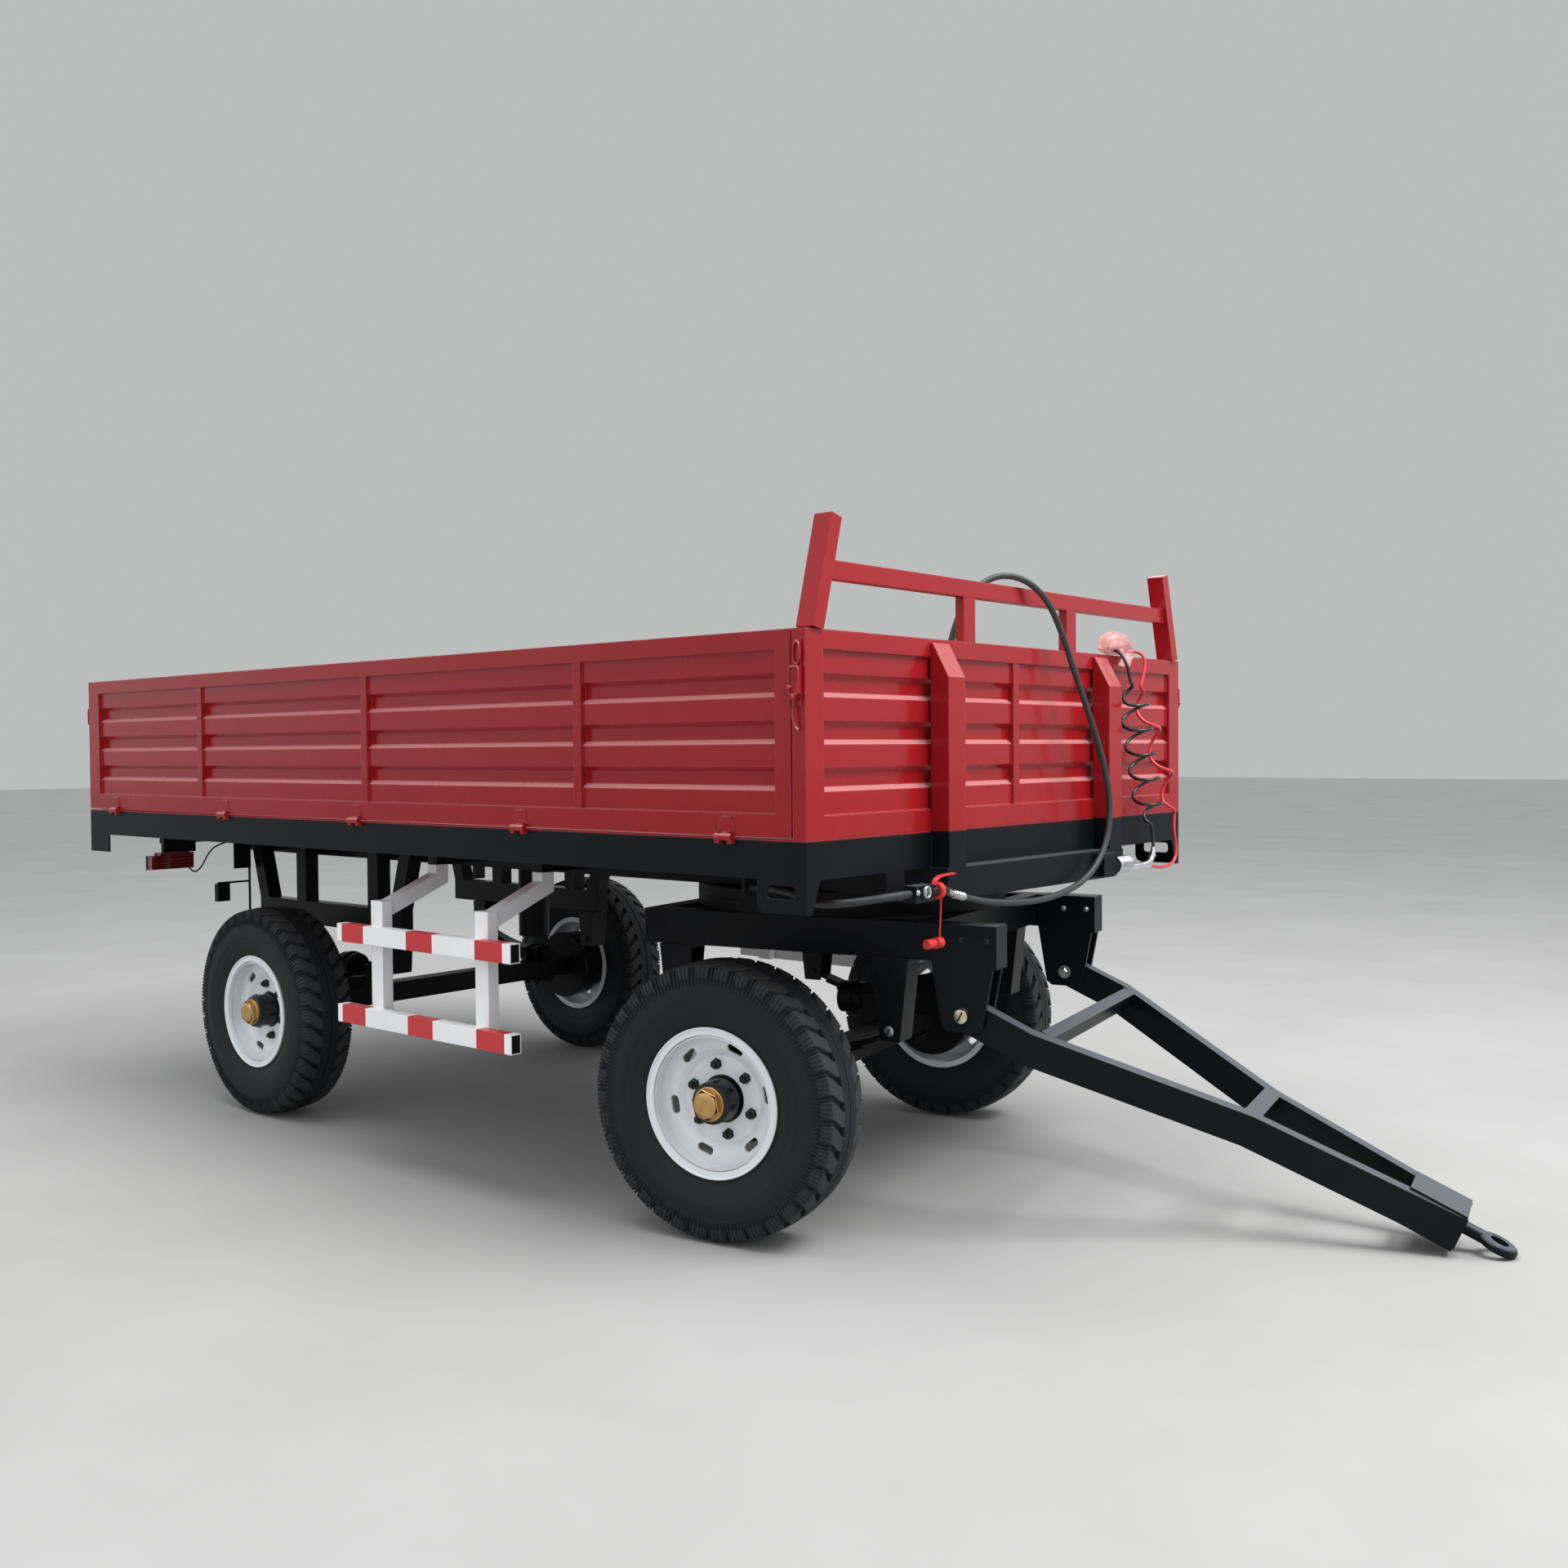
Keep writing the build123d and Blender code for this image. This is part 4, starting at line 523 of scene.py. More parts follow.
cord("hydraulic_hose_line", hose_route, 0.010, hose_black, ["hydraulic_hose"], far_end="connector",
     stiffness="stiff", lay="loose", with_pieces=["hose_plug"])
cord("hydraulic_supply_hose", supply_route, 0.011, hose_black, ["supply_line"], far_end="object",
     stiffness="stiff", lay="loose")
cord("black_air_line", black_lead + coiled(black_coil_route, 0.048, 5.75, 0.014) + black_tail_route[1:],
     air_line_radius, line_black, ["air_line_black_coil", "air_line_black_tail"], far_end="object",
     stiffness="medium", lay="coiled")
cord("red_air_line", red_lead + coiled(red_coil_route, 0.029, 2.85, 0.012) + red_tail_route[1:],
     air_line_radius, line_red, ["air_line_red_coil", "air_line_red_tail"], far_end="object",
     stiffness="medium", lay="coiled")


# ---- mesh helpers -----------------------------------------------------------------------------
front_axle_x = -685.0
rear_axle_x = -2945.0
half_track = 835.0
sides = (("right", -1), ("left", 1))
tyre_radius = 405.0
steering = Matrix.Rotation(math.radians(11.6), 4, "Z")
pivot = Matrix.Translation(at(front_axle_x, 0, 0))
parked_turn = pivot @ steering @ pivot.inverted()
forward = Vector((1, 0, 0))
leftward = Vector((0, 1, 0))
upward = Vector((0, 0, 1))


def frame_at(origin, x_dir, z_dir):
    """Placement of a piece made in millimetres, with its own x and z along these directions."""
    z_axis = Vector(z_dir).normalized()
    x_axis = (Vector(x_dir) - z_axis * Vector(x_dir).dot(z_axis)).normalized()
    turn = Matrix((x_axis, z_axis.cross(x_axis), z_axis)).transposed().to_4x4()
    return Matrix.Translation(origin) @ turn @ Matrix.Scale(0.001, 4)


def wheel_frame(end, side):
    """Placement of a wheel: z outboard along its axle, x up."""
    x_mid = front_axle_x if end == "front" else rear_axle_x
    place = frame_at(at(x_mid, side * half_track, tyre_radius), upward, side * leftward)
    return parked_turn @ place if end == "front" else place


bed_axes = frame_at(at(0, 0, 0), forward, upward)


def skin(bm, rows, closed, material=0, caps=True):
    """Faces between rows of vertices, which are closed rings or open strips, and caps on the ends."""
    for a, b in zip(rows, rows[1:]):
        for k in range(len(a) if closed else len(a) - 1):
            m = (k + 1) % len(a)
            bm.faces.new((a[k], a[m], b[m], b[k])).material_index = material
    if caps:
        for row in (rows[0], rows[-1]):
            bm.faces.new(row).material_index = material


def lathe(bm, profile, place, segments=48, material=0, first=0.0):
    """Surface turned about z from (offset, radius) points."""
    rings = []
    for offset, radius in profile:
        if radius < 1e-6:
            rings.append([bm.verts.new(place @ Vector((0, 0, offset)))])
            continue
        ring = []
        for k in range(segments):
            turn = first + math.tau * k / segments
            spot = Vector((radius * math.cos(turn), radius * math.sin(turn), offset))
            ring.append(bm.verts.new(place @ spot))
        rings.append(ring)
    for a, b in zip(rings, rings[1:]):
        for k in range(segments):
            m = (k + 1) % segments
            corners = dict.fromkeys((a[k % len(a)], a[m % len(a)], b[m % len(b)], b[k % len(b)]))
            bm.faces.new(corners).material_index = material


def brick(bm, low, high, place, material=0):
    """Box between two corners."""
    outline = ((low[0], low[1]), (high[0], low[1]), (high[0], high[1]), (low[0], high[1]))
    base, top = ([bm.verts.new(place @ Vector((x, y, z))) for x, y in outline]
                 for z in (low[2], high[2]))
    walls = [[base[k - 1], base[k], top[k], top[k - 1]] for k in (1, 2, 3, 0)]
    for face in [base[::-1], top] + walls:
        bm.faces.new(face).material_index = material


def rod(bm, points, radius, material=0, sides=12):
    """Round bar along a row of points, with flat ends."""
    row = [Vector(p) for p in points]
    side = (row[1] - row[0]).orthogonal().normalized()
    rings = []
    for k, here in enumerate(row):
        before = (here - row[max(k - 1, 0)]).normalized()
        after = (row[min(k + 1, len(row) - 1)] - here).normalized()
        along = (before + after).normalized()
        side = (side - along * side.dot(along)).normalized()
        other = along.cross(side)
        rings.append([bm.verts.new(here + (side * math.cos(t) + other * math.sin(t)) * radius)
                      for t in (math.tau * m / sides for m in range(sides))])
    skin(bm, rings, True, material)


def finish_mesh(name, bm, materials, sharp=32.0):
    """Object made from a bmesh, with outward normals and sharp edges kept."""
    bmesh.ops.recalc_face_normals(bm, faces=bm.faces)
    for face in bm.faces:
        face.smooth = True
    for edge in bm.edges:
        if len(edge.link_faces) == 2 and edge.calc_face_angle(0.0) > math.radians(sharp):
            edge.smooth = False
    mesh = bpy.data.meshes.new(name)
    bm.to_mesh(mesh)
    bm.free()
    for material in materials:
        mesh.materials.append(material)
    obj = bpy.data.objects.new(name, mesh)
    scene.collection.objects.link(obj)
    return obj


def piece(name, body, bm, materials, *nodes, sharp=32.0):
    """Finished piece riding on a body, in place of its CAD nodes if any are given."""
    obj = finish_mesh(name, bm, materials, sharp)
    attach(obj, body)
    if nodes:
        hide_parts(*nodes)


# ---- tyres ------------------------------------------------------------------------------------
def around_axle_tree():
    """Geometry nodes: copies of a piece turned about z, added to the form they belong to."""
    tree = bpy.data.node_groups.new("around_axle", "GeometryNodeTree")
    tree.interface.new_socket("Geometry", in_out="INPUT", socket_type="NodeSocketGeometry")
    kinds = {"Piece": "Object", "Count": "Int", "Phase": "Float", "Material": "Material"}
    for label, kind in kinds.items():
        tree.interface.new_socket(label, in_out="INPUT", socket_type=f"NodeSocket{kind}")
    tree.interface.new_socket("Geometry", in_out="OUTPUT", socket_type="NodeSocketGeometry")
    given = node(tree, "NodeGroupInput")
    step = maths(tree, "DIVIDE", math.tau, given.outputs["Count"])
    index = node(tree, "GeometryNodeInputIndex").outputs[0]
    turn = maths(tree, "ADD", maths(tree, "MULTIPLY", index, step), given.outputs["Phase"])
    points = node(tree, "GeometryNodePoints", {"Count": given.outputs["Count"]})
    source = node(tree, "GeometryNodeObjectInfo", {"Object": given.outputs["Piece"]})
    spread = node(tree, "GeometryNodeInstanceOnPoints", {
        "Points": points.outputs[0], "Instance": source.outputs["Geometry"],
        "Rotation": node(tree, "ShaderNodeCombineXYZ", {"Z": turn}).outputs[0]})
    solid = node(tree, "GeometryNodeRealizeInstances", {0: spread.outputs[0]})
    coat = {0: solid.outputs[0], "Material": given.outputs["Material"]}
    coated = node(tree, "GeometryNodeSetMaterial", coat)
    both = node(tree, "GeometryNodeJoinGeometry")
    tree.links.new(given.outputs["Geometry"], both.inputs[0])
    tree.links.new(coated.outputs[0], both.inputs[0])
    put = node(tree, "NodeGroupOutput")
    tree.links.new(both.outputs[0], put.inputs[0])
    return tree


around_axle = around_axle_tree()


def spread_around(form, copy, count, phase, material):
    """Modifier that sets copies of a piece around a form's axle."""
    modifier = form.modifiers.new(copy.name, "NODES")
    modifier.node_group = around_axle
    values = {"Piece": copy, "Count": count, "Phase": phase, "Material": material}
    for item in around_axle.interface.items_tree:
        if item.in_out == "INPUT" and item.name in values:
            modifier[item.identifier] = values[item.name]


def baked(form):
    """Mesh of a form with its modifiers applied; the form itself is removed."""
    bpy.context.view_layer.update()
    mesh = bpy.data.meshes.new_from_object(form.evaluated_get(bpy.context.evaluated_depsgraph_get()))
    bpy.data.objects.remove(form)
    return mesh


def carcass_profile():
    """Outline of one half of a tyre in offset and radius, from the bead to the middle of the tread."""
    wall = [(80, 203.5), (83, 212), (86, 221), (92, 236), (99, 256), (104, 276), (106.9, 297),
            (106.9, 312), (105.6, 327), (103.2, 342), (100, 357), (97.5, 368), (93, 381),
            (88, 388.5), (82, 391)]
    rings = [(228, 2.5), (262, 2.0), (290, 1.6), (335, 1.6), (343, 1.6)]
    ridged = []
    for (y0, r0), (y1, r1) in zip(wall, wall[1:]):
        ridged.append((y0, r0))
        for radius, half in rings:
            if r0 < radius - half and radius + half < r1:
                for edge, rise in ((-half, 0.0), (-half + 0.7, 0.6), (half - 0.7, 0.6), (half, 0.0)):
                    share = (radius + edge - r0) / (r1 - r0)
                    ridged.append((y0 + (y1 - y0) * share + rise, radius + edge))
    ridged.append(wall[-1])
    tread = [(37.5, 391.2), (36, 403.6), (35, 404.3), (3.5, 405), (2.2, 404), (1.6, 396), (0, 395.5)]
    return ridged + tread


def lug_form(name, sign):
    """One hooked lug from the tread's edge rib to the shoulder, made at angle zero."""
    stations = [(34, 403.9, 30, 387, -13, 20), (42, 403.4, 42, 387, -11, 22),
                (52, 402.6, 52, 387, -6, 24), (63, 401.4, 63, 387, 3, 25), (74, 400.0, 74, 387, 13, 25),
                (84, 398.4, 82, 387, 20, 25), (91, 396.2, 86, 384, 23, 25), (97, 388, 89, 378, 24, 25),
                (100.0, 374, 94, 370, 25, 24), (101.0, 362, 98, 360, 25, 22)]
    bm = bmesh.new()
    rings = []
    for y, r, inner_y, inner_r, shift, half in stations:
        ring = []
        for span, depth in ((half + 2.5, 0.0), (half + 0.6, 0.82), (half - 1.0, 1.0), (1.0 - half, 1.0),
                            (-0.6 - half, 0.82), (-half - 2.5, 0.0)):
            radius = inner_r + (r - inner_r) * depth
            offset = inner_y + (y - inner_y) * depth
            turn = (shift + span) / tyre_radius
            ring.append(bm.verts.new((radius * math.cos(turn), radius * math.sin(turn), sign * offset)))
        rings.append(ring)
    skin(bm, rings, False)
    return finish_mesh(name, bm, [tread_rubber])


def fin_form(name, sign):
    """One thin radial fin on the shoulder."""
    bm = bmesh.new()
    rings = []
    for y, r in ((103.0, 341), (102.6, 352), (101.4, 364), (99.6, 376), (96.8, 388), (93.5, 394)):
        rings.append([bm.verts.new((r, span, sign * (y + rise)))
                      for span, rise in ((-3.2, -3.5), (-1.9, 2.2), (1.9, 2.2), (3.2, -3.5))])
    skin(bm, rings, False)
    return finish_mesh(name, bm, [tyre_rubber])


lug_count = 36
fin_count = 180


def tyre_mesh():
    """Tyre with its lugs and fins, in millimetres about z."""
    half = carcass_profile()
    outline = half + [(-y, r) for y, r in reversed(half[:-1])] + [(-66, 215), (66, 215), half[0]]
    bm = bmesh.new()
    lathe(bm, outline, Matrix.Identity(4), 144)
    bmesh.ops.remove_doubles(bm, verts=bm.verts, dist=0.001)
    form = finish_mesh("tyre_form", bm, [tyre_rubber], 28.0)
    copies = []
    for sign, phase in ((1, 0.0), (-1, 0.5)):
        lug = lug_form(f"lug_{sign + 1}", sign)
        fin = fin_form(f"fin_{sign + 1}", sign)
        spread_around(form, lug, lug_count, phase * math.tau / lug_count, tread_rubber)
        spread_around(form, fin, fin_count, 0.0, tyre_rubber)
        copies += [lug, fin]
    mesh = baked(form)
    for copy in copies:
        bpy.data.objects.remove(copy)
    return mesh


def place_copy(mesh, name, place):
    """Copy of a mesh moved to its place, as an object at the origin."""
    copy = mesh.copy()
    copy.name = name
    copy.transform(place)
    obj = bpy.data.objects.new(name, copy)
    scene.collection.objects.link(obj)
    return obj


stud_circle_radius = 102.5


def hub_piece(name, place, side):
    """Brake drum, hub barrel, nuts on their studs and the yellow plated grease cap."""
    bm = bmesh.new()
    lathe(bm, [(-150, 0), (-150, 146), (-146, 150), (-69, 150), (-65, 146), (-65, 96), (11.8, 117.8),
               (11.8, 62), (86, 62), (92, 60), (95, 55), (95, 0)], place)
    lathe(bm, [(94.5, 0), (94.5, 50), (101, 50), (103, 48), (103, 0)], place, 48, 1)
    lathe(bm, [(102, 0), (102, 46.5), (119, 46.5), (121, 44.5)], place, 6, 1, math.radians(12))
    lathe(bm, [(120.9, 38.4), (124, 37), (126.6, 32), (127.8, 22), (127.8, 0)], place, 36, 1)
    for k in range(6):
        turn = math.radians(-side * 11.0 + 60 * k)
        stud = Vector((math.cos(turn), math.sin(turn), 0)) * stud_circle_radius
        spot = place @ Matrix.Translation(stud)
        lathe(bm, [(20.3, 0), (20.3, 17), (23, 17), (23, 14.5), (36, 14.5), (38.5, 12), (38.5, 0)],
              spot, 6, 0, turn)
        lathe(bm, [(38, 0), (38, 8), (45, 8), (46, 7), (46, 0)], spot, 16, 0)
    return finish_mesh(name, bm, [hub_black, yellow_zinc])


def rim_trim(name, place):
    """Rolled outer flange, lock ring and tyre valve of a wheel."""
    bm = bmesh.new()
    turns = [math.tau * k / 12 for k in range(13)]
    lathe(bm, [(91 + 3.6 * math.sin(t), 216.5 + 3.6 * math.cos(t)) for t in turns], place, 96)
    lathe(bm, [(79, 196.8), (84, 195), (87, 192.5), (88, 189.5), (82, 189), (76, 191), (75, 196.8),
               (79, 196.8)], place, 96)
    spot = place @ Matrix.Rotation(math.radians(75), 4, "Z") @ Matrix.Translation((168, 0, -8))
    lathe(bm, [(0, 0), (0, 5), (30, 5), (30, 3.4), (44, 3.4), (44, 0)], spot, 12)
    bmesh.ops.remove_doubles(bm, verts=bm.verts, dist=0.00001)
    return finish_mesh(name, bm, [wheel_silver])


tyre = tyre_mesh()
for end in ("front", "rear"):
    for side_name, side in sides:
        wheel = f"{end}_{side_name}"
        place = wheel_frame(end, side)
        for obj, replaced in ((place_copy(tyre, f"{wheel}_lugged_tyre", place), "tyre"),
                              (hub_piece(f"{wheel}_capped_hub", place, side), "hub"),
                              (rim_trim(f"{wheel}_rim_trim", place), None)):
            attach(obj, f"{wheel}_wheel")
            if replaced:
                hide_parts(f"{wheel}_{replaced}")


# ---- springs, pins and bolts ------------------------------------------------------------------
def hex_bolt(bm, spot, outward, radius, height, material=0):
    """Hexagon head on a washer, standing out from a face."""
    place = frame_at(spot, (0.3, 0.2, 1), outward)
    wide, thick = radius * 1.35, radius * 0.22
    lathe(bm, [(0, 0), (0, wide), (thick, wide), (thick, 0)], place, 20, material)
    lathe(bm, [(0, 0), (0, radius), (height * 0.8, radius), (height, radius * 0.8), (height, 0)],
          place, 6, material)


def slotted_pin(bm, spot, outward, radius, height):
    """Round pin head with a chamfer and a dark strip across it standing in for the shaded slot, in the
    piece's materials 1 and 2.
    """
    place = frame_at(spot, (0.5, 0.1, 1), outward)
    lathe(bm, [(0, 0), (0, radius), (height * 0.7, radius), (height, radius * 0.82), (height, 0)],
          place, 28, 1)
    long, wide = radius * 0.78, radius * 0.12
    # Painted shade: a thin dark strip laid on the head stands in for the slot.
    brick(bm, (-long, -wide, height), (long, wide, height + 0.8), place, 2)


spring_eye_z = 577.0
spring_eye_reach = 380
u_bolt_half = 38
for end, body, x_mid, y_mid, turn in (("rear", "chassis", rear_axle_x, 520.0, Matrix.Identity(4)),
                                      ("front", "bogie", front_axle_x, 475.0, parked_turn)):
    bm = bmesh.new()
    turned = turn.to_3x3()
    for side in (-1, 1):
        for x in (x_mid - 33, x_mid + 33):
            bent = [(-u_bolt_half, 345), (-u_bolt_half, 488), (-30, 505), (0, 511), (30, 505),
                    (u_bolt_half, 488), (u_bolt_half, 345)]
            rod(bm, [turn @ at(x, side * (y_mid + y), z) for y, z in bent], 0.0075)
            for y in (y_mid - u_bolt_half, y_mid + u_bolt_half):
                hex_bolt(bm, turn @ at(x, side * y, 353), -upward, 12, 14)
        place = frame_at(turn @ at(x_mid, side * y_mid, 0), turned @ forward, upward)
        brick(bm, (-52, -54, 353), (52, 54, 365), place)
        brick(bm, (-50, -34, 499), (50, 34, 507), place)
        for x in (x_mid - spring_eye_reach, x_mid + spring_eye_reach):
            spot = turn @ at(x, side * (y_mid + 49.5), spring_eye_z)
            slotted_pin(bm, spot, turned @ (side * leftward), 15, 5)
    piece(f"{end}_spring_clamps", body, bm, [dark_parts, zinc_plate, hub_black])

bm = bmesh.new()
for side in (-1, 1):
    for z in (512.0, 794.0):
        for x in (-2129.0, -1194.0):
            near, far = sorted((side * 1034.0, side * 1066.0))
            brick(bm, (x, near, z - 27), (x + 6, far, z + 27), bed_axes)
piece("guard_tube_plugs", "chassis", bm, [dark_parts])

ear_mid_y = 475.0
ear_half = 31.3 + 12.0
ear_pin = (-76, 640)
bm = bmesh.new()
for side in (-1, 1):
    outward = parked_turn.to_3x3() @ (side * leftward)
    outer, inner = side * (ear_mid_y + ear_half), side * (ear_mid_y - ear_half)
    x, z = ear_pin
    slotted_pin(bm, parked_turn @ at(x, outer + side * 10, z), outward, 20.5, 5)
    lathe(bm, [(0, 0), (0, 21.5), (10, 21.5), (10, 0)],
          frame_at(parked_turn @ at(x, outer, z), upward, outward), 28, 1)
    hex_bolt(bm, parked_turn @ at(x, inner, z), -outward, 16, 18, 3)
    for x in (2, -78):
        hex_bolt(bm, parked_turn @ at(x, outer, 862), outward, 7, 6)
        hex_bolt(bm, parked_turn @ at(x, inner, 862), -outward, 7, 9, 3)
piece("ear_bolts_and_pins", "bogie", bm, [hub_black, pale_zinc, hub_black, zinc_plate])


# ---- corner latches ---------------------------------------------------------------------------
def latch(bm, place):
    """Over-centre latch in millimetres: oval ring, slotted clasp with its pins, and a thin lever."""
    brick(bm, (-12, -4, -172), (12, 0, -1), place)
    turns = [math.tau * k / 24 for k in range(25)]
    rod(bm, [place @ Vector((11.5 * math.cos(t), -8, -36 + 29 * math.sin(t))) for t in turns],
        0.0032, 0, 8)
    clasp = [(-13, -72), (-15.5, -77), (-15.5, -134), (-11, -143), (9, -143), (14, -136), (14, -78),
             (10, -72), (-13, -72)]
    rod(bm, [place @ Vector((x, -19, z)) for x, z in clasp], 0.003, 0, 8)
    brick(bm, (-13, -17, -141), (12, -4, -74), place)
    for x in (-9.5, -4.5, 0.5, 5.5):
        brick(bm, (x, -19.5, -112), (x + 2.4, -16.5, -80), place)
    for x, z in ((-13, -126), (-1, -151)):
        lathe(bm, [(0, 0), (0, 6.5), (8, 6.5), (10, 4), (10, 0)],
              place @ Matrix.Translation((x, -16, z)) @ Matrix.Rotation(math.pi / 2, 4, "X"), 16)
    lever = [(-5, -9, -148), (-9, -10, -170), (-10, -11, -195), (-6, -10, -218), (4, -8, -233)]
    for lift in (0.0, 3.0):
        rod(bm, [place @ Vector((x, y - lift, z)) for x, y, z in lever], 0.0026, 0, 8)


bm = bmesh.new()
for side in (-1, 1):
    latch(bm, frame_at(at(-22.5, side * 1070.3, 1702), -side * forward, upward))
piece("front_corner_latches", "bed", bm, [fitting_red], "front_latches")
for side_name, side in sides:
    bm = bmesh.new()
    latch(bm, frame_at(at(-4000.3, side * 1050.0, 1690), -leftward, upward))
    piece(f"{side_name}_rear_corner_latch", f"{side_name}_board", bm, [fitting_red],
          f"{side_name}_rear_latch")


# ---- hydraulic and air fittings ---------------------------------------------------------------
def set_along(spot):
    """Placement of a fitting whose axis points to the left side of the trailer."""
    return frame_at(spot, upward, leftward)


fitting_z = 1026
bm = bmesh.new()
valve = at(78, -593, fitting_z)
lathe(bm, [(0, 0), (0, 13), (28, 13), (30, 15), (70, 15), (70, 0)],
      set_along(at(78, -643, fitting_z)), 24, 2)
disc = set_along(valve)
lathe(bm, [(-13, 0), (-13, 20), (-10, 24.5), (-3, 25), (4, 24.5), (9, 19), (9, 0)], disc, 32)
lathe(bm, [(10, 0), (10, 15), (22, 15), (24, 12), (24, 0)], disc, 6, 1)
for shift in (-0.006, -0.002, 0.002, 0.006):
    lever = [(shift, -0.022, 0.016), (shift, -0.014, 0.030), (shift, 0.002, 0.038),
             (shift, 0.030, 0.041), (shift, 0.076, 0.042)]
    rod(bm, [valve + Vector(p) for p in lever], 0.0028, 0, 8)
strap = [(0.004, 0.008, -0.018), (0.005, 0.004, -0.07), (0.004, -0.001, -0.14)]
rod(bm, [valve + Vector(p) for p in strap], 0.0026, 0, 8)
lathe(bm, [(0, 0), (0, 11), (3, 14), (34, 14), (36, 10), (44, 10), (46, 16), (70, 16), (74, 13), (74, 0)],
      set_along(at(78, -653, 881)), 24)
piece("ball_valve", "bed", bm, [valve_red, zinc_plate, hub_black], "hydraulic_valve")

bm = bmesh.new()
eye = at(98.5, -685, 1030)
hex_bolt(bm, eye, forward, 8, 6)
turns = [math.tau * k / 16 for k in range(17)]
for out in (0.006, 0.010):
    ring = [eye + Vector((out, 0.013 * math.cos(t), 0.015 * math.sin(t))) for t in turns]
    rod(bm, ring, 0.0022, 0, 6)
hex_bolt(bm, at(98.5, -718, 1030), forward, 6, 5)
piece("clamp_bolts", "bed", bm, [zinc_plate, zinc_plate])

bm = bmesh.new()
back = (hose_route[0] - hose_route[1]).normalized()
crimped = [(-2, 0), (-2, 11)]
for k in range(6):
    crimped += [(2 + 7 * k, 12.4), (6 + 7 * k, 12.4), (7 + 7 * k, 11.2), (8 + 7 * k, 11.2)]
crimped += [(48, 13.0), (50, 10), (68, 10), (68, 0)]
lathe(bm, crimped, frame_at(hose_route[0], upward, back), 24)
joint = hose_route[0] + back * 0.068
rod(bm, [joint - back * 0.004, joint, at(78, -556, fitting_z), at(78, -562, fitting_z)], 0.011, 0, 16)
lathe(bm, [(0, 0), (0, 14), (20, 14), (23, 12), (23, 0)], set_along(at(78, -571, fitting_z)), 6, 1)
piece("hose_end_union", "bed", bm, [zinc_plate, hub_black], "hose_fitting")

bm = bmesh.new()
block_end = set_along(at(76, 428, 1030))
lathe(bm, [(0.4, 0), (0.4, 29), (6, 31), (8, 27), (14, 25)], block_end, 32)
for start in range(16, 93, 11):
    lathe(bm, [(start, 25), (start + 2, 29.5), (start + 8, 29.5), (start + 10.5, 25)], block_end, 8, 0,
          math.radians(22.5))
lathe(bm, [(14, 25), (94, 25), (99, 20), (100, 0)], block_end, 32)
elbow = through((76, 522, 1019), (76, 590, 1017), (76, 650, 1018), (77, 700, 1026))
straight = through((70, 522, 1012), (69, 600, 1013), (69, 650, 1016))
for pipe, radius, tail in ((elbow, 0.0098, black_tail_route), (straight, 0.0085, red_tail_route)):
    rod(bm, spline_line(pipe + tail[-1:]), radius, 0, 16)
for tail in (black_tail_route, red_tail_route):
    lathe(bm, [(-12, 0), (-12, 7.6), (10, 8.4), (12, 10), (20, 10), (20, 0)],
          frame_at(tail[-1], (1, 0, 0.2), tail[-1] - tail[-2]), 20)
piece("air_line_outlets", "bed", bm, [chrome], "air_couplings")


# ---- lamps ------------------------------------------------------------------------------------
def lamp_material():
    """Dark red ribbed lens, with painted shade in the rib hollows."""
    material, tree, shader = new_material("lamp_lens", Coat_Weight=0.6, Coat_Roughness=0.05,
                                          Roughness=0.2)
    here = object_place(tree)
    place = split(tree, here)
    across = maths(tree, "SINE", maths(tree, "MULTIPLY", place["Y"], math.tau / 0.009))
    up = maths(tree, "SINE", maths(tree, "MULTIPLY", place["Z"], math.tau / 0.014))
    ribs = maths(tree, "ADD", maths(tree, "MULTIPLY", across, 0.5), up)
    tone = blend_colour(tree, noise(tree, here, 20.0), (0.13, 0.003, 0.006, 1), (0.21, 0.006, 0.010, 1))
    # Painted shade: the hollows between the ribs are darkened.
    hollow_shade = steps(tree, ribs, (0.2, 0.0), (0.9, 0.35))
    tree.links.new(blend_colour(tree, hollow_shade, tone, (0.03, 0.001, 0.002, 1)),
                   shader.inputs["Base Color"])
    set_bump(tree, shader, ribs, 0.0012, 0.8)
    return material


lamp_lens = lamp_material()
lamp_x = -3800.0
for side_name, side in sides:
    bm = bmesh.new()
    for y0, y1, top in ((738, 892, 994), (892, 930, 982)):
        near, far = sorted((side * y0, side * y1))
        brick(bm, (lamp_x + 0.2, near, 922), (lamp_x + 14, far, top), bed_axes, 1)
        brick(bm, (lamp_x + 14, near + 2, 924), (lamp_x + 51, far - 2, top - 2), bed_axes)
    obj = finish_mesh(f"{side_name}_lamp_lens", bm, [lamp_lens, hub_black])
    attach(obj, "chassis")
    if side < 0:
        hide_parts("tail_lamps")
for side_name, side in sides:
    wire = [at(x, side * y, z) for x, y, z in (
        (-3757, 760, 930), (-3748, 752, 908), (-3740, 730, 905), (-3730, 708, 935), (-3715, 690, 985),
        (-3700, 660, 1020), (-3690, 600, 1034))]
    cord(f"{side_name}_lamp_wire", wire, 0.0035, line_black, [], "chassis", far_end="object",
         stiffness="limp", lay="loose")


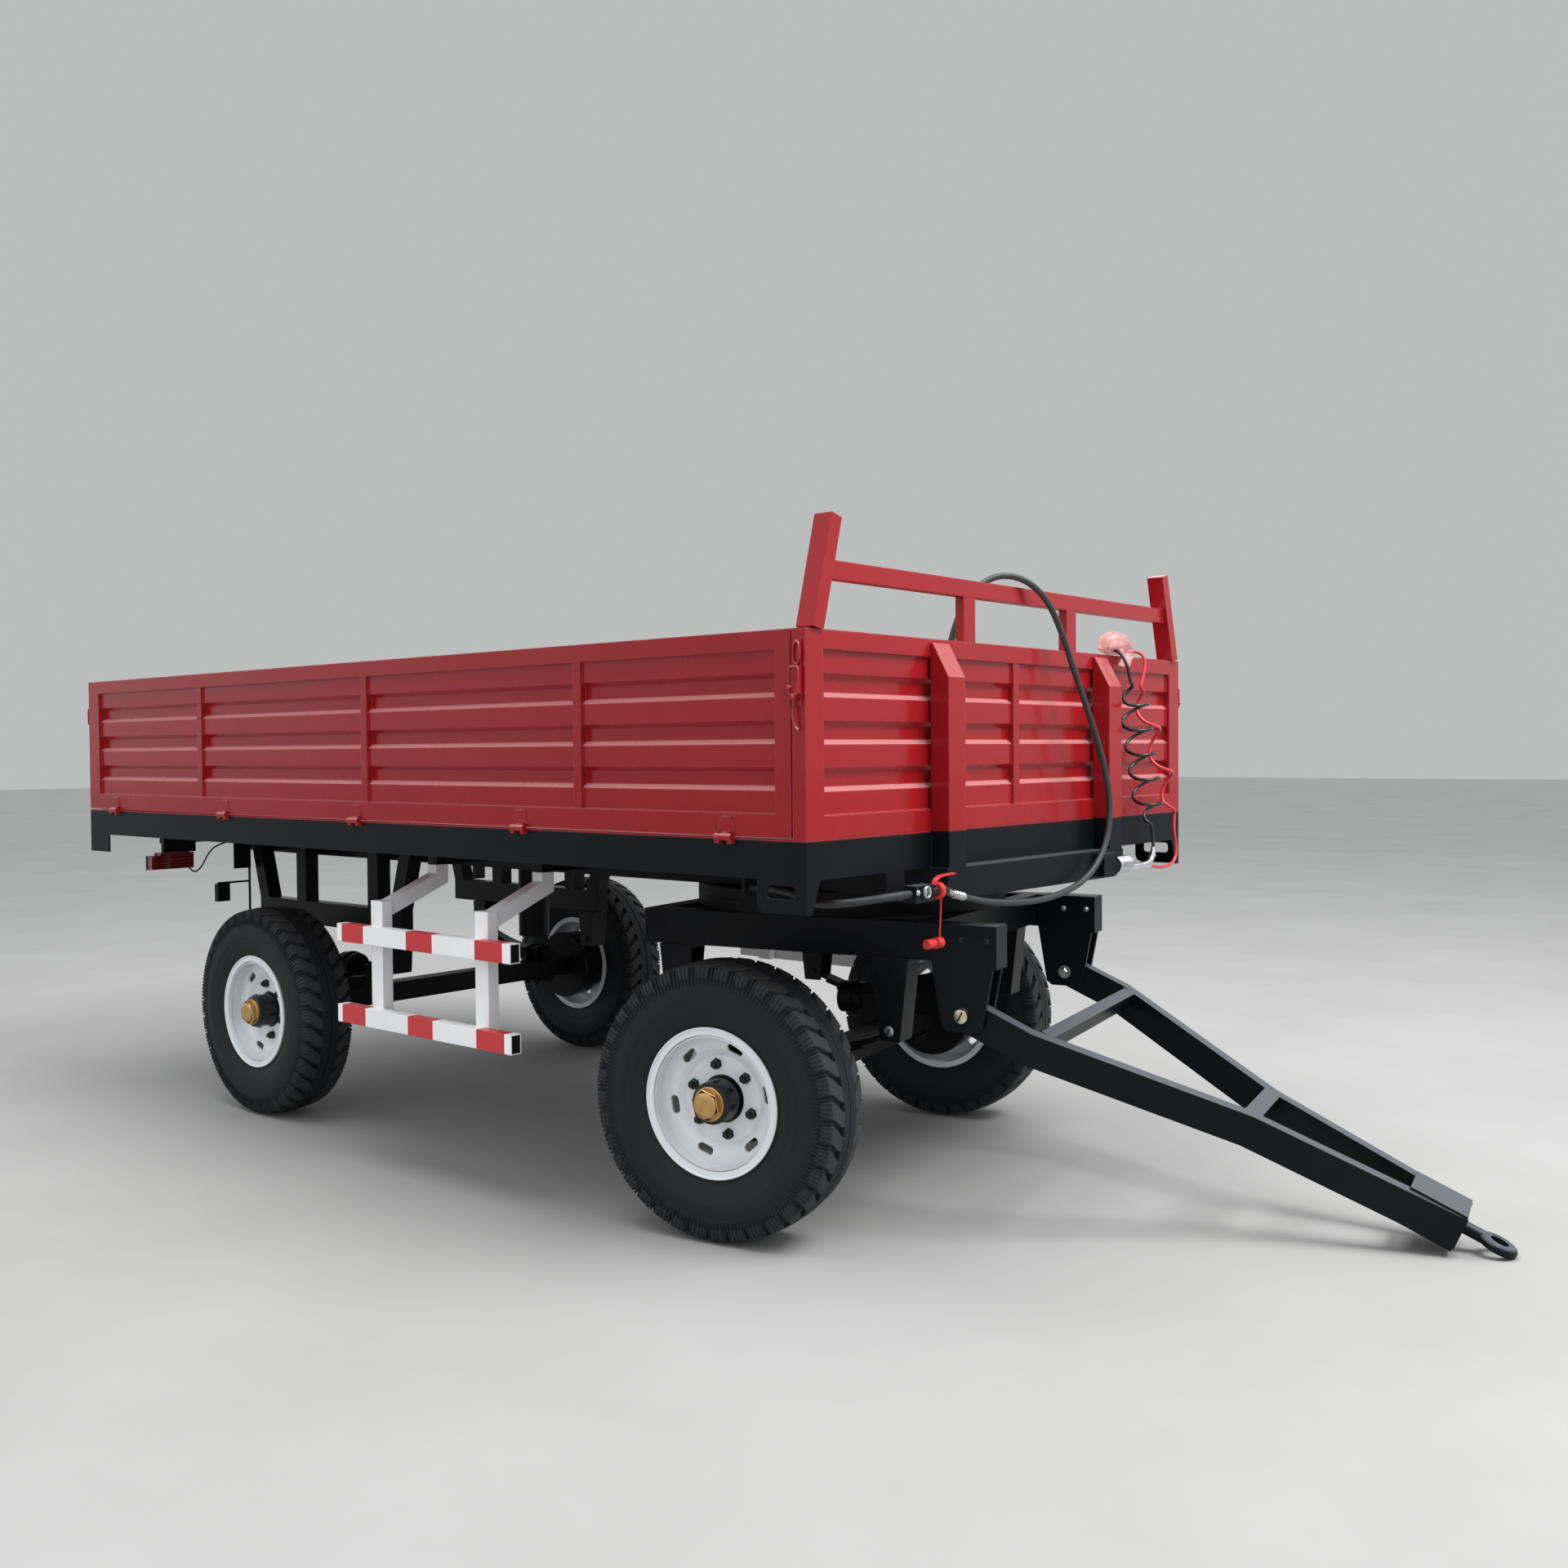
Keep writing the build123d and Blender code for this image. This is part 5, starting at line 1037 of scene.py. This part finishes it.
# ---- bag over the couplings -------------------------------------------------------------------
def bag_material():
    """Thin pink plastic film that lets light through."""
    material, tree, shader = new_material("bag_film", Roughness=0.22, Specular_IOR_Level=0.6,
                                          Transmission_Weight=0.35)
    crease = noise(tree, stretched(tree, object_place(tree), (1.0, 2.2, 0.8)), 26.0, 5.0, 0.7)
    tone = blend_colour(tree, steps(tree, crease, (0.35, 0.0), (0.65, 1.0)), (0.78, 0.20, 0.20, 1),
                        (0.95, 0.62, 0.60, 1))
    tree.links.new(tone, shader.inputs["Base Color"])
    tree.links.new(steps(tree, crease, (0.3, 0.55), (0.7, 0.95)), shader.inputs["Alpha"])
    set_bump(tree, shader, crease, 0.004, 0.8)
    return material


wall_top_z = 1730.8


def bag_shell():
    """Crumpled shell that lies over the wall's top edge, and the veil of film hanging before it."""
    bm = bmesh.new()
    rings = []
    sections = [(508, 2, 1748, 6), (516, -2, 1756, 18), (534, -6, 1764, 27), (560, -8, 1771, 34),
                (590, -8, 1775, 37), (620, -7, 1771, 35), (648, -6, 1764, 29), (668, -4, 1756, 20),
                (684, -2, 1750, 9)]
    for n, (y, x_mid, z_mid, size) in enumerate(sections):
        ring = []
        for k in range(40):
            turn = math.tau * k / 40
            fold = (0.88 + 0.26 * abs(math.sin(2.5 * turn + 0.8 * n))
                    + 0.05 * math.sin(9 * turn - 2.3 * n))
            x = x_mid + 1.12 * size * fold * math.cos(turn)
            z = max(z_mid + size * fold * math.sin(turn), wall_top_z)
            ring.append(bm.verts.new(at(x, y + 5 * math.sin(3 * turn + n), z)))
        rings.append(ring)
    skin(bm, rings, True)
    columns = []
    for k in range(19):
        share = k / 18
        drop = 20 + 46 * math.sin(math.pi * share) ** 0.7 * (1 - 0.45 * share)
        column = []
        for m in range(9):
            fall = m / 8
            x = 26 + 9 * math.sin(11 * share + 2 * fall) * (0.3 + fall) + 4 * math.sin(23 * share)
            y = 572 + 112 * share - 14 * fall
            column.append(bm.verts.new(at(x, y, 1752 - drop * fall - 4 * fall)))
        columns.append(column)
    skin(bm, columns, False, caps=False)
    piece("coupling_bag_film", "bed", bm, [bag_film], "coupling_bag", sharp=70.0)


bag_film = bag_material()
bag_shell()


# ---- stage ------------------------------------------------------------------------------------
def add_stage():
    """Plain pale floor, soft daylight from all round and a plain backdrop."""
    material, tree, shader = new_material("floor", Roughness=0.85, Specular_IOR_Level=0.2)
    patch = noise(tree, object_place(tree), 0.9, 6.0, 0.6)
    tone = blend_colour(tree, patch, (0.275, 0.275, 0.27, 1), (0.365, 0.365, 0.36, 1))
    tree.links.new(tone, shader.inputs["Base Color"])
    mesh = bpy.data.meshes.new("floor")
    reach = 60.0
    corners = [(-reach, -reach, 0), (reach, -reach, 0), (reach, reach, 0), (-reach, reach, 0)]
    mesh.from_pydata(corners, [], [(0, 1, 2, 3)])
    mesh.materials.append(material)
    floor = bpy.data.objects.new("floor", mesh)
    scene.collection.objects.link(floor)
    world = bpy.data.worlds.new("daylight")
    scene.world = world
    world.use_nodes = True
    tree = world.node_tree
    shader = tree.nodes["Background"]
    height = split(tree, node(tree, "ShaderNodeTexCoord").outputs["Generated"])["Z"]
    sky = steps(tree, height, (0.0, (0.74, 0.755, 0.775)), (0.25, (0.84, 0.855, 0.875)),
                (0.8, (1.12, 1.13, 1.15)))
    seen = node(tree, "ShaderNodeLightPath").outputs["Is Camera Ray"]
    tree.links.new(blend_colour(tree, seen, sky, (0.50, 0.51, 0.505, 1)), shader.inputs["Color"])
    shader.inputs["Strength"].default_value = 1.0


add_camera()
add_light("key", (6.0, 1.0, 9.0), (0, 0, 0.8), 5.0, 1050.0)
add_light("top", (-0.5, -1.5, 9.5), (-0.3, 0, 1.0), 6.0, 480.0)
add_stage()
scene.view_settings.view_transform = "Standard"
